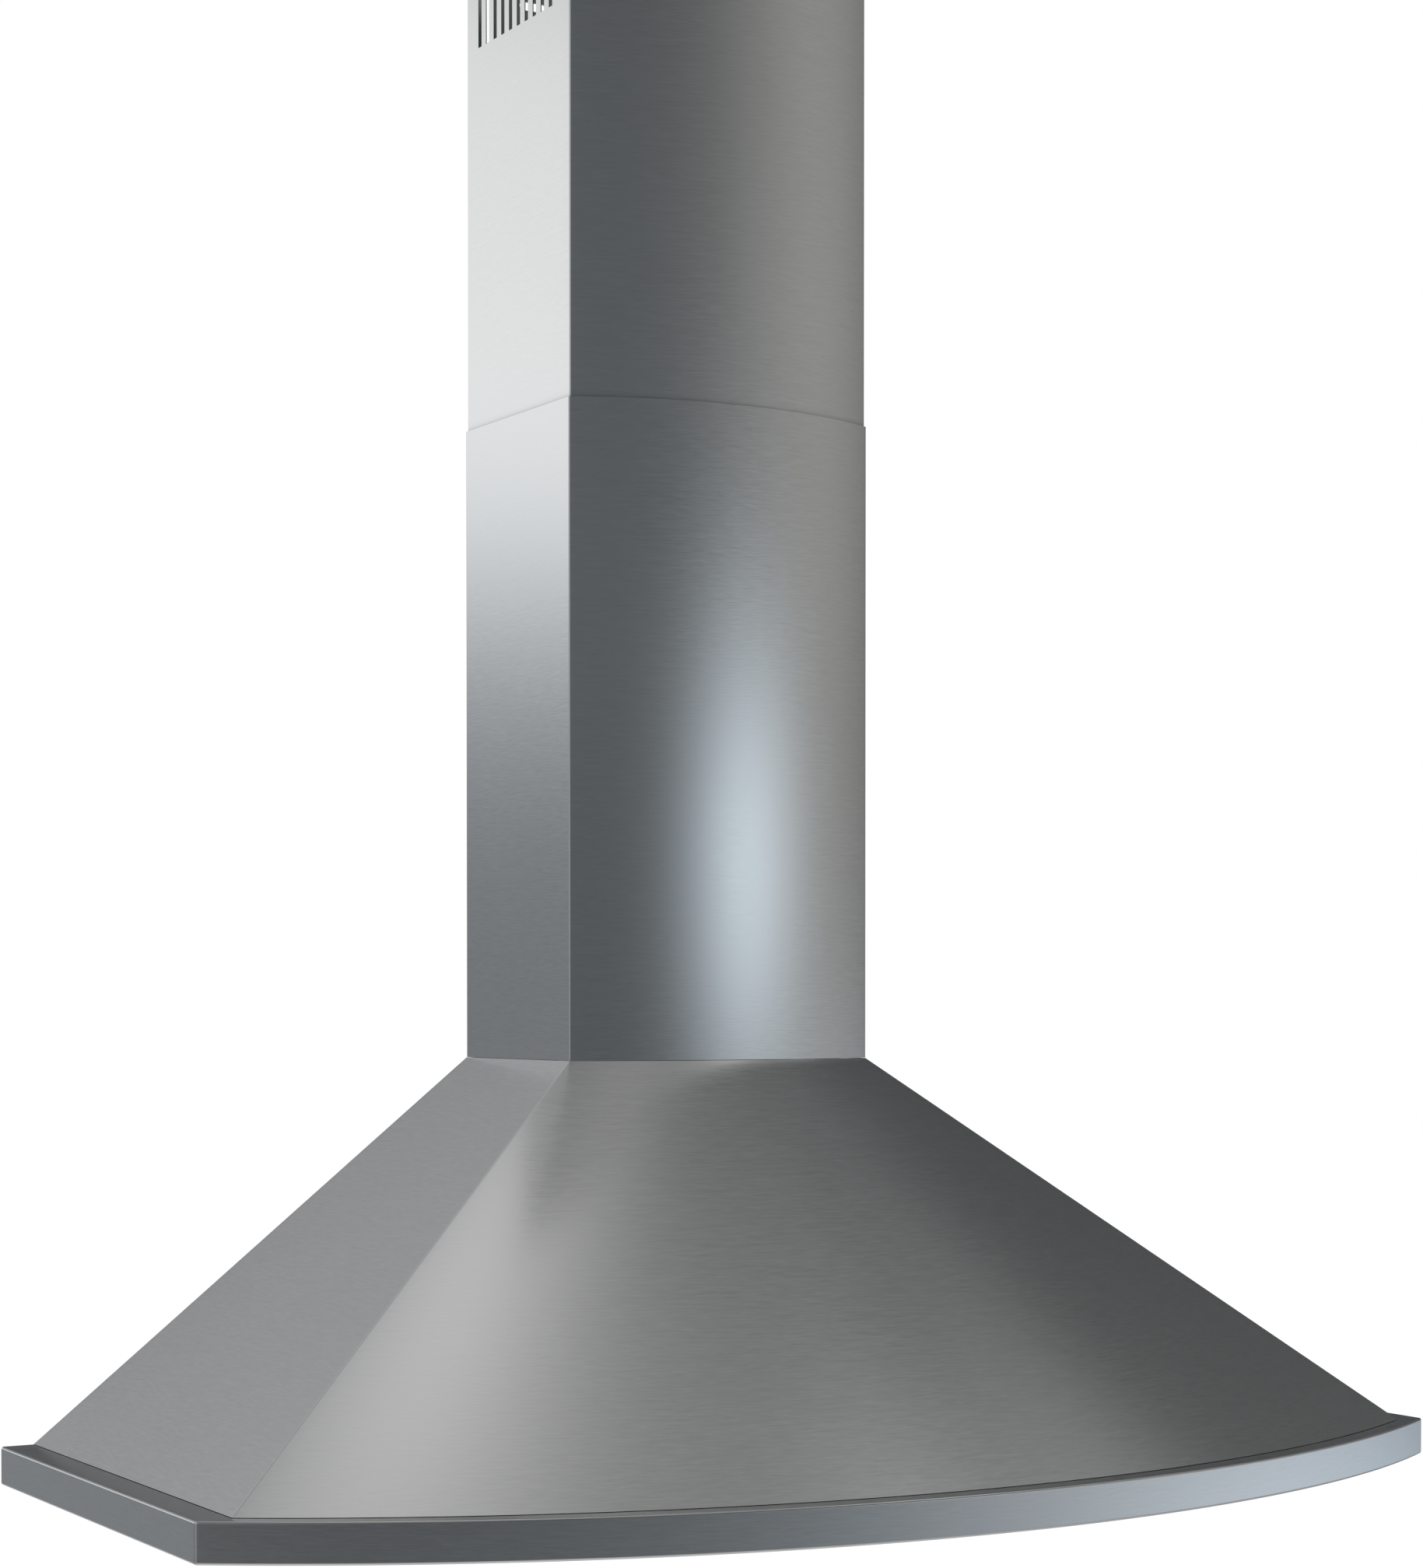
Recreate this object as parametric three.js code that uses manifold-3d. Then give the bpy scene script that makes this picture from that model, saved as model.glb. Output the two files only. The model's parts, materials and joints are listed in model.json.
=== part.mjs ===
// Wall-mounted chimney range hood with a bowed front.
// Millimetres. X runs to the right seen from the front, Y towards the wall, Z up.
// The wall is the plane y = 0. Heights below are measured from the bottom of the rim;
// the last lines lower the whole hood so that its origin is on the wall at hanging height.

import * as THREE from "three";
import { mergeVertices } from "three/addons/utils/BufferGeometryUtils.js";
import Module from "manifold-3d";

const wasm = await Module();
wasm.setup();

// Driving dimensions
const rim = { halfWidth: 530, sideDepth: 410, bow: 160, height: 29.2, lip: 10 };
const canopyFoot = { halfWidth: 504.2, sideDepth: 410.3, bow: 143 };
const chimney = { halfWidth: 135.9, sideDepth: 183.4, bow: 33.2, flange: 15 };
const canopyTop = 323.2;
const lowerChimneyTop = 836.1;
const upperChimney = { inset: 1.3, bottom: 776, top: 1250 };
const slots = { count: 10, first: 24.8, pitch: 13.95, width: 5.7, bottom: 1143.7, top: 1209.7 };
const hangHeight = 262;

const sheet = 1.2;
const thinSheet = 0.8;
const gap = 0.3;
const panelFront = -(sheet + gap);

const linerBottom = 14;
const linerTop = linerBottom + sheet;
const filter = { width: 296, depth: 340, height: 30, pitch: 310, rear: -39.5, wall: 1, flange: 12 };
const filterBottom = linerBottom + gap;
const filterTop = filterBottom + filter.height;
const filterFront = filter.rear - filter.depth;
const opening = { halfWidth: 150, rear: -27.5, front: filterFront - 2 };
const pivot = { y: filter.rear + 5.5, z: filterBottom + 6, radius: 2, bore: 2.3 };
const baffle = { count: 8, pitch: 36, width: 22, height: 11, sheet: 0.8 };

const lamp = { x: 310, y: -447, radius: 31, flange: 37 };
const control = { y: -482, halfLength: 95, halfWidth: 18, pitch: 32 };

const blower = { y: -167, z: 190, halfWidth: 80.5, start: 76, end: 118, startAngle: 84, outletTop: 311 };
const wheel = { radius: 68, eye: 56, halfWidth: 72, blades: 20 };
const inletRadius = 56;
const motor = { start: 98, end: 176, radius: 44 };
const frameBottom = 312;
const outlet = { y: -104, radius: 75, neckTop: 382, collarTop: 432, flapZ: 400 };

// Materials
function material(color, roughness, metalness) {
  return () => new THREE.MeshStandardMaterial({ color, roughness, metalness });
}
const brushedSteel = material(0xa7abad, 0.35, 1);
const galvanised = material(0x9ba0a2, 0.5, 1);
const bafflesSteel = material(0xb4b6b6, 0.3, 1);
const wireSteel = material(0xc0c2c3, 0.2, 1);
const darkPlastic = material(0x26282a, 0.55, 0);
const greyPlastic = material(0x6f7477, 0.6, 0);
const paintedMotor = material(0x2c2f33, 0.45, 0.6);
const rubberLead = material(0x1c1d1e, 0.7, 0);
const lensGlass = material(0xf3efe2, 0.25, 0);
const boardGreen = material(0x2e5a3c, 0.6, 0);

// Joining and cutting
function toSolid(geometry) {
  const bare = geometry.clone();
  bare.deleteAttribute("normal");
  bare.deleteAttribute("uv");
  const merged = mergeVertices(bare, 1e-4);
  const triVerts = new Uint32Array(merged.index.array);
  const vertProperties = new Float32Array(merged.attributes.position.array);
  return new wasm.Manifold(new wasm.Mesh({ numProp: 3, vertProperties, triVerts }));
}

function toGeometry(solid) {
  const mesh = solid.getMesh();
  const geometry = new THREE.BufferGeometry();
  geometry.setAttribute("position", new THREE.BufferAttribute(new Float32Array(mesh.vertProperties), 3));
  geometry.setIndex(new THREE.BufferAttribute(new Uint32Array(mesh.triVerts), 1));
  geometry.computeVertexNormals();
  return geometry;
}

function join(...geometries) {
  return toGeometry(geometries.map(toSolid).reduce((whole, piece) => whole.add(piece)));
}

function cut(body, ...tools) {
  return toGeometry(tools.map(toSolid).reduce((rest, tool) => rest.subtract(tool), toSolid(body)));
}

// Basic forms
function block(x0, x1, y0, y1, z0, z1) {
  const geometry = new THREE.BoxGeometry(x1 - x0, y1 - y0, z1 - z0);
  return geometry.translate((x0 + x1) / 2, (y0 + y1) / 2, (z0 + z1) / 2);
}

function outlineShape(points, holes = []) {
  const shape = new THREE.Shape(points.map(([a, b]) => new THREE.Vector2(a, b)));
  holes.forEach((hole) => shape.holes.push(new THREE.Path(hole.map(([a, b]) => new THREE.Vector2(a, b)))));
  return shape;
}

// A flat outline in X and Y, raised from z0 to z1
function plateZ(points, z0, z1, holes = []) {
  const options = { depth: z1 - z0, bevelEnabled: false };
  return new THREE.ExtrudeGeometry(outlineShape(points, holes), options).translate(0, 0, z0);
}

// A flat outline in Y and Z, running from x0 to x1
function plateX(points, x0, x1, holes = []) {
  const options = { depth: x1 - x0, bevelEnabled: false };
  const geometry = new THREE.ExtrudeGeometry(outlineShape(points, holes), options);
  const axes = new THREE.Matrix4().makeBasis(
    new THREE.Vector3(0, 1, 0),
    new THREE.Vector3(0, 0, 1),
    new THREE.Vector3(1, 0, 0),
  );
  return geometry.applyMatrix4(axes).translate(x0, 0, 0);
}

// A flat outline in X and Z, running from y1 back to y0
function plateY(points, y0, y1, holes = []) {
  const options = { depth: y1 - y0, bevelEnabled: false };
  const geometry = new THREE.ExtrudeGeometry(outlineShape(points, holes), options);
  return geometry.rotateX(Math.PI / 2).translate(0, y1, 0);
}

function circle(a, b, radius, steps = 24) {
  const turn = (2 * Math.PI) / steps;
  return Array.from({ length: steps }, (_, i) => [
    a + radius * Math.cos((i + 0.5) * turn),
    b + radius * Math.sin((i + 0.5) * turn),
  ]);
}

function arcPoints(a, b, radius, from, to, steps) {
  return Array.from({ length: steps + 1 }, (_, i) => {
    const angle = THREE.MathUtils.degToRad(from + ((to - from) * i) / steps);
    return [a + radius * Math.cos(angle), b + radius * Math.sin(angle)];
  });
}

function rodX(radius, x0, x1, y, z, steps = 16) {
  return plateX(circle(y, z, radius, steps), x0, x1);
}

// A turned piece about the vertical line through (x, y)
function turnedZ(profile, x, y, steps = 32) {
  const points = profile.map(([radius, z]) => new THREE.Vector2(radius, z));
  return new THREE.LatheGeometry(points, steps).rotateX(Math.PI / 2).translate(x, y, 0);
}

// A turned piece about the line along X through (y, z)
function turnedX(profile, y, z, steps = 32) {
  const points = profile.map(([radius, x]) => new THREE.Vector2(radius, x));
  return new THREE.LatheGeometry(points, steps).rotateZ(-Math.PI / 2).translate(0, y, z);
}

function wire(points, radius, steps, sides = 8) {
  const path = new THREE.CatmullRomCurve3(points.map(([x, y, z]) => new THREE.Vector3(x, y, z)));
  const section = outlineShape(circle(0, 0, radius, sides));
  return new THREE.ExtrudeGeometry(section, { steps, extrudePath: path, bevelEnabled: false });
}

// A wall between an outer and an inner outline, through a list of levels.
// A closed wall runs all round; an open one ends in two edge faces.
function loft(levels, closed) {
  const count = levels[0].outer.length;
  const positions = [];
  levels.forEach(({ outer, inner, z }) => {
    outer.forEach(([x, y]) => positions.push(x, y, z));
    inner.forEach(([x, y]) => positions.push(x, y, z));
  });
  const outerAt = (level, i) => level * 2 * count + (i % count);
  const innerAt = (level, i) => outerAt(level, i) + count;
  const index = [];
  const quad = (a, b, c, d) => index.push(a, b, c, a, c, d);
  const last = levels.length - 1;
  const spans = closed ? count : count - 1;
  for (let i = 0; i < spans; i += 1) {
    for (let k = 0; k < last; k += 1) {
      quad(outerAt(k, i), outerAt(k, i + 1), outerAt(k + 1, i + 1), outerAt(k + 1, i));
      quad(innerAt(k, i + 1), innerAt(k, i), innerAt(k + 1, i), innerAt(k + 1, i + 1));
    }
    quad(innerAt(0, i), innerAt(0, i + 1), outerAt(0, i + 1), outerAt(0, i));
    quad(outerAt(last, i), outerAt(last, i + 1), innerAt(last, i + 1), innerAt(last, i));
  }
  if (!closed) {
    for (let k = 0; k < last; k += 1) {
      quad(innerAt(k, 0), outerAt(k, 0), outerAt(k + 1, 0), innerAt(k + 1, 0));
      const end = count - 1;
      quad(outerAt(k, end), innerAt(k, end), innerAt(k + 1, end), outerAt(k + 1, end));
    }
  }
  const geometry = new THREE.BufferGeometry();
  geometry.setAttribute("position", new THREE.Float32BufferAttribute(positions, 3));
  geometry.setIndex(index);
  geometry.computeVertexNormals();
  return geometry;
}

// The plan of the hood at one height: two straight sides and a front that is one arc
function bowPlan({ halfWidth, sideDepth, bow }) {
  const radius = (halfWidth ** 2 + bow ** 2) / (2 * bow);
  return { halfWidth, radius, centreY: radius - sideDepth - bow };
}

function insetPlan(plan, inset) {
  return { halfWidth: plan.halfWidth - inset, radius: plan.radius - inset, centreY: plan.centreY };
}

function bowArc({ halfWidth, radius, centreY }, steps) {
  const span = Math.asin(halfWidth / radius);
  return Array.from({ length: steps + 1 }, (_, i) => {
    const angle = span * ((2 * i) / steps - 1);
    return [radius * Math.sin(angle), centreY - radius * Math.cos(angle)];
  });
}

function openOutline(plan, backY, steps) {
  return [[-plan.halfWidth, backY], ...bowArc(plan, steps), [plan.halfWidth, backY]];
}

// A strip that follows the plan on three sides and ends at the back
function bowStrip(outer, inner, backY, z0, z1, steps) {
  const outline = [...openOutline(outer, backY, steps), ...openOutline(inner, backY, steps).reverse()];
  return plateZ(outline, z0, z1);
}

function planBetween(low, high, share) {
  const mix = (key) => low[key] + (high[key] - low[key]) * share;
  return bowPlan({ halfWidth: mix("halfWidth"), sideDepth: mix("sideDepth"), bow: mix("bow") });
}

function canopyPlan(z) {
  return planBetween(canopyFoot, chimney, (z - rim.height) / (canopyTop - rim.height));
}

// The hood's nodes are gathered in one group
const hood = new THREE.Group();
hood.name = "chimney_range_hood";

function part(name, geometry, makeMaterial, parent = hood) {
  const mesh = new THREE.Mesh(geometry, makeMaterial());
  mesh.name = name;
  parent.add(mesh);
  return mesh;
}

// Skin
const rimSteps = 24;
const rimPlan = bowPlan(rim);

function rimBand() {
  const ledgeInner = insetPlan(bowPlan(canopyFoot), 6);
  const band = bowStrip(rimPlan, insetPlan(rimPlan, sheet), 0, 0, rim.height, rimSteps);
  const ledge = bowStrip(rimPlan, ledgeInner, panelFront, rim.height - sheet, rim.height, rimSteps);
  const lip = bowStrip(rimPlan, insetPlan(rimPlan, rim.lip), panelFront, 0, sheet, rimSteps);
  return join(band, ledge, lip);
}

function canopyShell() {
  const steps = 24;
  const wall = sheet * 1.5;
  const foot = rim.height + gap;
  const levels = [foot, canopyTop].map((z) => ({
    outer: openOutline(canopyPlan(z), panelFront, steps),
    inner: openOutline(insetPlan(canopyPlan(z), wall), panelFront, steps),
    z,
  }));
  return loft(levels, false);
}

function keyhole(x) {
  const narrow = 2.6;
  const wide = 5;
  const drop = 20;
  const shoulder = THREE.MathUtils.radToDeg(Math.acos(narrow / wide));
  return [
    ...arcPoints(x, hangHeight, narrow, 0, 180, 6),
    ...arcPoints(x, hangHeight - drop, wide, 180 - shoulder, 360 + shoulder, 12),
  ];
}

function backPanel() {
  const half = rim.halfWidth - sheet - gap;
  const bottom = sheet + gap;
  const right = [
    [half, bottom], [half, rim.height], [canopyFoot.halfWidth, rim.height], [chimney.halfWidth, canopyTop],
  ];
  const left = right.map(([x, z]) => [-x, z]).reverse();
  const holes = [keyhole(-95), keyhole(95), circle(-300, 60, 3, 16), circle(300, 60, 3, 16)];
  return plateY([...right, ...left], -sheet, 0, holes);
}

// Duct covers
function chimneyCover(plan, backY, z0, z1) {
  const steps = 10;
  const wall = thinSheet;
  const inner = insetPlan(plan, wall);
  const tip = plan.halfWidth - chimney.flange;
  const outside = [[-tip, backY], ...openOutline(plan, backY, steps), [tip, backY]];
  const inside = [[-tip, backY - wall], ...openOutline(inner, backY - wall, steps), [tip, backY - wall]];
  return plateZ([...outside, ...inside.reverse()], z0, z1);
}

const chimneyPlan = bowPlan(chimney);
const upperPlan = insetPlan(chimneyPlan, upperChimney.inset);
const screwY = -12;
const screwZ = 1230;

function upperChimneyCover() {
  const cover = chimneyCover(upperPlan, -upperChimney.inset, upperChimney.bottom, upperChimney.top);
  const reach = upperPlan.halfWidth + 5;
  const tools = [];
  for (let i = 0; i < slots.count; i += 1) {
    const y = -(slots.first + i * slots.pitch);
    tools.push(block(-reach, reach, y - slots.width / 2, y + slots.width / 2, slots.bottom, slots.top));
  }
  tools.push(rodX(2.3, -reach, reach, screwY, screwZ, 12));
  return cut(cover, ...tools);
}

function upperWallBracket() {
  const plate = 1.5;
  const bottom = 1150;
  const top = 1244;
  const reach = upperPlan.halfWidth - thinSheet - gap;
  const step = reach - 18.8;
  const stepY = -upperChimney.inset - thinSheet - 0.7;
  const earY = -20;
  const right = [
    [step, 0], [step, stepY], [reach, stepY], [reach, earY], [reach - plate, earY],
    [reach - plate, stepY - plate], [step - plate, stepY - plate], [step - plate, -plate],
  ];
  const left = right.map(([x, y]) => [-x, y]).reverse();
  const profile = plateZ([...right, ...left], bottom, top);
  const earBottom = 1215;
  const clearance = (side) => {
    const [x0, x1] = side > 0 ? [step - plate, reach + 1] : [-reach - 1, plate - step];
    return block(x0, x1, earY - 1, 1, bottom - 1, earBottom);
  };
  const notch = (side) => {
    const [x0, x1] = side > 0 ? [step + 4, reach + 1] : [-reach - 1, -step - 4];
    return block(x0, x1, screwY - 2.5, screwY + 2.5, earBottom - 1, screwZ + 2.5);
  };
  const oblong = (x) => plateY(
    [...arcPoints(x + 9, 1191, 3.5, -90, 90, 8), ...arcPoints(x - 9, 1191, 3.5, 90, 270, 8)],
    -plate - 1,
    1,
  );
  return cut(
    profile,
    clearance(1),
    clearance(-1),
    notch(1),
    notch(-1),
    oblong(-74.5),
    oblong(0),
    oblong(74.5),
  );
}

function coverScrew(side) {
  const wall = upperPlan.halfWidth;
  const shank = rodX(2, wall - 5, wall + gap + 1, screwY, screwZ, 12);
  const head = rodX(4, wall + gap, wall + gap + 2.2, screwY, screwZ, 16);
  const screw = join(shank, head);
  return side > 0 ? screw : screw.rotateZ(Math.PI).translate(0, 2 * screwY, 0);
}

function chimneyBracket(side) {
  const face = chimney.halfWidth - thinSheet - 1.9;
  const foot = frameBottom + sheet + gap;
  const leg = [[face, foot], [face, foot + 32], [face - sheet, foot + 32], [face - sheet, foot + sheet]];
  const toe = [[face - 22, foot + sheet], [face - 22, foot]];
  const outline = [...leg, ...toe].map(([x, z]) => [side * x, z]);
  return plateY(side > 0 ? outline : outline.reverse(), -110, -80);
}

// Frame that the blower hangs from
function topFrame() {
  const plan = insetPlan(canopyPlan(frameBottom + sheet), sheet * 1.5 + 0.8);
  const channel = [[-78, -155], [78, -155], [78, -53], [-78, -53]];
  return plateZ(openOutline(plan, panelFront, 12), frameBottom, frameBottom + sheet, [channel]);
}

// Underside
function lamps() {
  return [[-1, "left"], [1, "right"]];
}

function filters() {
  return [[-1, "left"], [0, "middle"], [1, "right"]];
}

function rectangle(x0, x1, y0, y1) {
  return [[x0, y0], [x1, y0], [x1, y1], [x0, y1]];
}

function bottomLiner() {
  const plan = insetPlan(rimPlan, sheet + 0.4);
  const tools = filters().map(([side]) => {
    const x = side * filter.pitch;
    return block(x - opening.halfWidth, x + opening.halfWidth, opening.front, opening.rear, 0, rim.height);
  });
  lamps().forEach(([side]) => {
    tools.push(plateZ(circle(side * lamp.x, lamp.y, lamp.radius + 0.6), 0, rim.height));
  });
  const cutX = control.halfLength - 5;
  const cutY = control.halfWidth - 4;
  tools.push(block(-cutX, cutX, control.y - cutY, control.y + cutY, 0, rim.height));
  const plate = cut(plateZ(openOutline(plan, panelFront, rimSteps), linerBottom, linerTop), ...tools);
  const skirt = bowStrip(plan, insetPlan(plan, sheet), panelFront, sheet + gap, linerTop, rimSteps);
  const half = filter.pitch + opening.halfWidth + 6;
  const fenceBack = opening.front - 0.2;
  const fence = block(-half, half, fenceBack - sheet, fenceBack, linerBottom, filterTop + 9);
  const earHalf = 1;
  const earReach = 6;
  const ears = [-1.5, -0.5, 0.5, 1.5].map((place) => {
    const x = place * filter.pitch;
    const rear = pivot.y + earReach;
    const body = block(x - earHalf, x + earHalf, pivot.y - earReach, rear, linerBottom, pivot.z + earReach);
    return cut(body, rodX(pivot.bore, x - 5, x + 5, pivot.y, pivot.z, 12));
  });
  return join(plate, skirt, fence, ...ears);
}

function filterFrame() {
  const half = filter.width / 2;
  const { wall, flange } = filter;
  const ring = (inset, z0, z1) => plateZ(
    rectangle(-half, half, filterFront, filter.rear),
    z0,
    z1,
    [rectangle(-half + inset, half - inset, filterFront + inset, filter.rear - inset)],
  );
  const lugs = [-120, 120].map((x) => {
    const body = block(x - 4, x + 4, filter.rear - wall, pivot.y + 5, pivot.z - 5, pivot.z + 5);
    return cut(body, rodX(pivot.bore, x - 6, x + 6, pivot.y, pivot.z, 12));
  });
  return join(
    ring(wall, filterBottom, filterTop),
    ring(flange, filterBottom, filterBottom + wall),
    ring(flange, filterTop - wall, filterTop),
    ...lugs,
  );
}

// A row of channels between two end plates; up says which way they open
function baffleRow(count, up) {
  const front = filterFront + filter.wall + 0.5;
  const rear = filter.rear - filter.wall - 0.5;
  const base = up ? filterBottom + filter.wall + 2 * gap : filterTop - filter.wall - 2 * gap;
  const sign = up ? 1 : -1;
  const { width, height, pitch } = baffle;
  const wall = baffle.sheet;
  const channels = Array.from({ length: count }, (_, i) => {
    const x = (i - (count - 1) / 2) * pitch;
    const outline = [
      [x - width / 2, base], [x + width / 2, base],
      [x + width / 2, base + sign * height], [x + width / 2 - wall, base + sign * height],
      [x + width / 2 - wall, base + sign * wall], [x - width / 2 + wall, base + sign * wall],
      [x - width / 2 + wall, base + sign * height], [x - width / 2, base + sign * height],
    ];
    return plateY(up ? outline : outline.reverse(), front, rear);
  });
  const reach = ((count - 1) / 2) * pitch + width / 2;
  const [low, high] = up ? [base - 0.2, base + height + 0.4] : [base - height - 0.4, base + 0.2];
  const ends = [front - 0.2, rear - 0.8].map((y) => block(-reach - 0.5, reach + 0.5, y, y + 1, low, high));
  return join(...channels, ...ends);
}

function filterHandle() {
  const y = filterFront + 9;
  const top = filterBottom - gap;
  const bottom = 3;
  const points = [
    [-42, y, top], [-42, y, bottom + 5], [-37, y, bottom], [-20, y, bottom],
    [20, y, bottom], [37, y, bottom], [42, y, bottom + 5], [42, y, top],
  ];
  return wire(points, 2, 16);
}

function filterMagnet() {
  return block(-25, 25, opening.front + 0.1, opening.front + 14, filterTop + gap, filterTop + 8);
}

function addFilters() {
  const frame = filterFrame();
  const lower = baffleRow(baffle.count, true);
  const upper = baffleRow(baffle.count - 1, false);
  const handle = filterHandle();
  const magnet = filterMagnet();
  filters().forEach(([side, where]) => {
    const place = new THREE.Group();
    place.position.x = side * filter.pitch;
    hood.add(place);
    part(`filter_frame_${where}`, frame, bafflesSteel, place);
    part(`filter_lower_baffles_${where}`, lower, bafflesSteel, place);
    part(`filter_upper_baffles_${where}`, upper, bafflesSteel, place);
    part(`filter_handle_${where}`, handle, wireSteel, place);
    part(`filter_magnet_${where}`, magnet, darkPlastic, place);
  });
}

function lampHousing(x) {
  const bottom = linerBottom - 1.5;
  const flangeTop = linerBottom - gap;
  const top = linerBottom + 24;
  const lip = bottom + 1.7;
  const wall = 1.2;
  const profile = [
    [0, top], [0, top - wall], [lamp.radius - wall, top - wall], [lamp.radius - wall, lip],
    [lamp.radius - 4, lip], [lamp.radius - 4, bottom], [lamp.flange, bottom], [lamp.flange, flangeTop],
    [lamp.radius, flangeTop], [lamp.radius, top], [0, top],
  ];
  return turnedZ(profile, x, lamp.y, 20);
}

function lampLens(x) {
  const bottom = linerBottom + 0.5;
  const radius = lamp.radius - 1.6;
  const top = bottom + 3;
  return turnedZ([[0, top], [0, bottom], [radius, bottom], [radius, top], [0, top]], x, lamp.y, 20);
}

const panelBottom = linerBottom - 2.5;
const panelTop = linerBottom - gap;
const buttonNames = ["power", "low", "medium", "high", "light"];

function buttonX(i) {
  return (i - (buttonNames.length - 1) / 2) * control.pitch;
}

function controlPanel() {
  const holes = buttonNames.map((_, i) => circle(buttonX(i), control.y, 6.7, 14));
  const { halfLength, halfWidth, y } = control;
  const outline = rectangle(-halfLength, halfLength, y - halfWidth, y + halfWidth);
  return plateZ(outline, panelBottom, panelTop, holes);
}

function controlBox() {
  const x = control.halfLength - 5.6;
  const y = control.halfWidth - 4.6;
  const bottom = panelTop + gap;
  const top = bottom + 20;
  const wall = 2;
  const front = control.y - y;
  const back = control.y + y;
  const inside = block(-x + wall, x - wall, front + wall, back - wall, bottom - 1, top - wall);
  return cut(block(-x, x, front, back, bottom, top), inside);
}

function controlBoard() {
  const x = control.halfLength - 8.5;
  const y = control.halfWidth - 7.5;
  return block(-x, x, control.y - y, control.y + y, linerBottom + 9, linerBottom + 10.6);
}

function pushButton(i) {
  const bottom = panelBottom - 2.5;
  const collar = panelTop + gap;
  const top = collar + 2;
  const profile = [[0, top], [0, bottom], [6.2, bottom], [6.2, collar], [8.5, collar], [8.5, top], [0, top]];
  return turnedZ(profile, buttonX(i), control.y, 14);
}

// Blower
function scrollPoint(angle, offset) {
  const share = (angle - blower.startAngle) / (360 - blower.startAngle);
  const radius = blower.start + (blower.end - blower.start) * share + offset;
  const turn = THREE.MathUtils.degToRad(angle);
  return [blower.y + radius * Math.cos(turn), blower.z + radius * Math.sin(turn)];
}

function scrollLine(offset, top) {
  const steps = 20;
  const curve = Array.from({ length: steps + 1 }, (_, i) => (
    scrollPoint(blower.startAngle + ((360 - blower.startAngle) * i) / steps, offset)
  ));
  return [[curve[0][0], top], ...curve, [curve[steps][0], top]];
}

function blowerWrap() {
  const outer = scrollLine(sheet, blower.outletTop);
  const inner = scrollLine(0, blower.outletTop);
  const front = inner[0][0];
  const back = inner[inner.length - 1][0];
  outer[0][0] = front - sheet;
  outer[1][0] = front - sheet;
  const strip = plateX([...outer, ...inner.reverse()], -blower.halfWidth, blower.halfWidth);
  const { halfWidth, outletTop } = blower;
  const flange = (y0, y1) => block(-halfWidth, halfWidth, y0, y1, outletTop - sheet, outletTop);
  return join(strip, flange(front - 12, front - 0.6), flange(back + 0.6, back + 12));
}

function blowerSidePlate(side) {
  const near = blower.halfWidth + gap;
  const outline = scrollLine(5, blower.outletTop);
  outline[0][0] -= 5;
  outline[1][0] -= 5;
  const plate = plateX(outline, near, near + sheet, [circle(blower.y, blower.z, inletRadius, 20)]);
  const mouth = turnedX(
    [
      [inletRadius - 0.6, near], [inletRadius + 0.6, near], [inletRadius + 5, near + 7],
      [inletRadius + 3.8, near + 7], [inletRadius - 0.6, near],
    ],
    blower.y,
    blower.z,
    20,
  );
  const whole = join(plate, mouth);
  return side > 0 ? whole : mirrorX(whole);
}

function mirrorX(geometry) {
  const mirrored = geometry.clone().scale(-1, 1, 1);
  const index = mirrored.index.array;
  for (let i = 0; i < index.length; i += 3) {
    [index[i], index[i + 1]] = [index[i + 1], index[i]];
  }
  mirrored.computeVertexNormals();
  return mirrored;
}

function impeller() {
  const { radius, eye, halfWidth, blades } = wheel;
  const axisY = blower.y;
  const axisZ = blower.z;
  const round = (radiusOfCircle) => circle(axisY, axisZ, radiusOfCircle, 20);
  const ring = (x0, x1, inner, outer) => plateX(round(outer), x0, x1, [round(inner)]);
  const disc = ring(-1.2, 1.2, 4.3, radius);
  const hub = ring(-14, 14, 4.3, 12);
  const rings = [-halfWidth, halfWidth - 2].map((x) => ring(x, x + 2, eye, radius));
  const middle = (radius + eye) / 2;
  const tilt = THREE.MathUtils.degToRad(35);
  const bladeSet = Array.from({ length: blades }, (_, i) => {
    const blade = new THREE.BoxGeometry(2 * halfWidth - 1, 1, radius - eye);
    const turn = (2 * Math.PI * i) / blades;
    return blade.rotateX(tilt).translate(0, 0, middle).rotateX(turn).translate(0, axisY, axisZ);
  });
  return join(disc, hub, ...rings, ...bladeSet);
}

function motorShaft() {
  return rodX(4, -30, motor.start + 20, blower.y, blower.z, 16);
}

function motorBody() {
  const { start, end, radius } = motor;
  const profile = [
    [4.4, start + 24], [4.4, start], [14, start], [14, start + 5], [radius - 6, start + 7],
    [radius, start + 14], [radius, end - 12], [radius - 6, end - 4], [14, end - 2], [14, end], [0, end],
    [0, start + 24], [4.4, start + 24],
  ];
  return turnedX(profile, blower.y, blower.z, 18);
}

function motorBracket() {
  const face = motor.start - 4;
  const plate = 2;
  const near = blower.halfWidth + sheet + 2 * gap;
  const round = (radius) => circle(blower.y, blower.z, radius, 24);
  const ring = plateX(round(30), face, face + plate, [round(15)]);
  const arms = [90, 210, 330].map((angle) => {
    const arm = join(
      block(face, face + plate, 22, 72, -7, 7),
      block(near, face + plate, 70, 72, -7, 7),
      block(near, near + plate, 70, 80, -7, 7),
    );
    return arm.rotateX(THREE.MathUtils.degToRad(angle)).translate(0, blower.y, blower.z);
  });
  return join(ring, ...arms);
}

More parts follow.
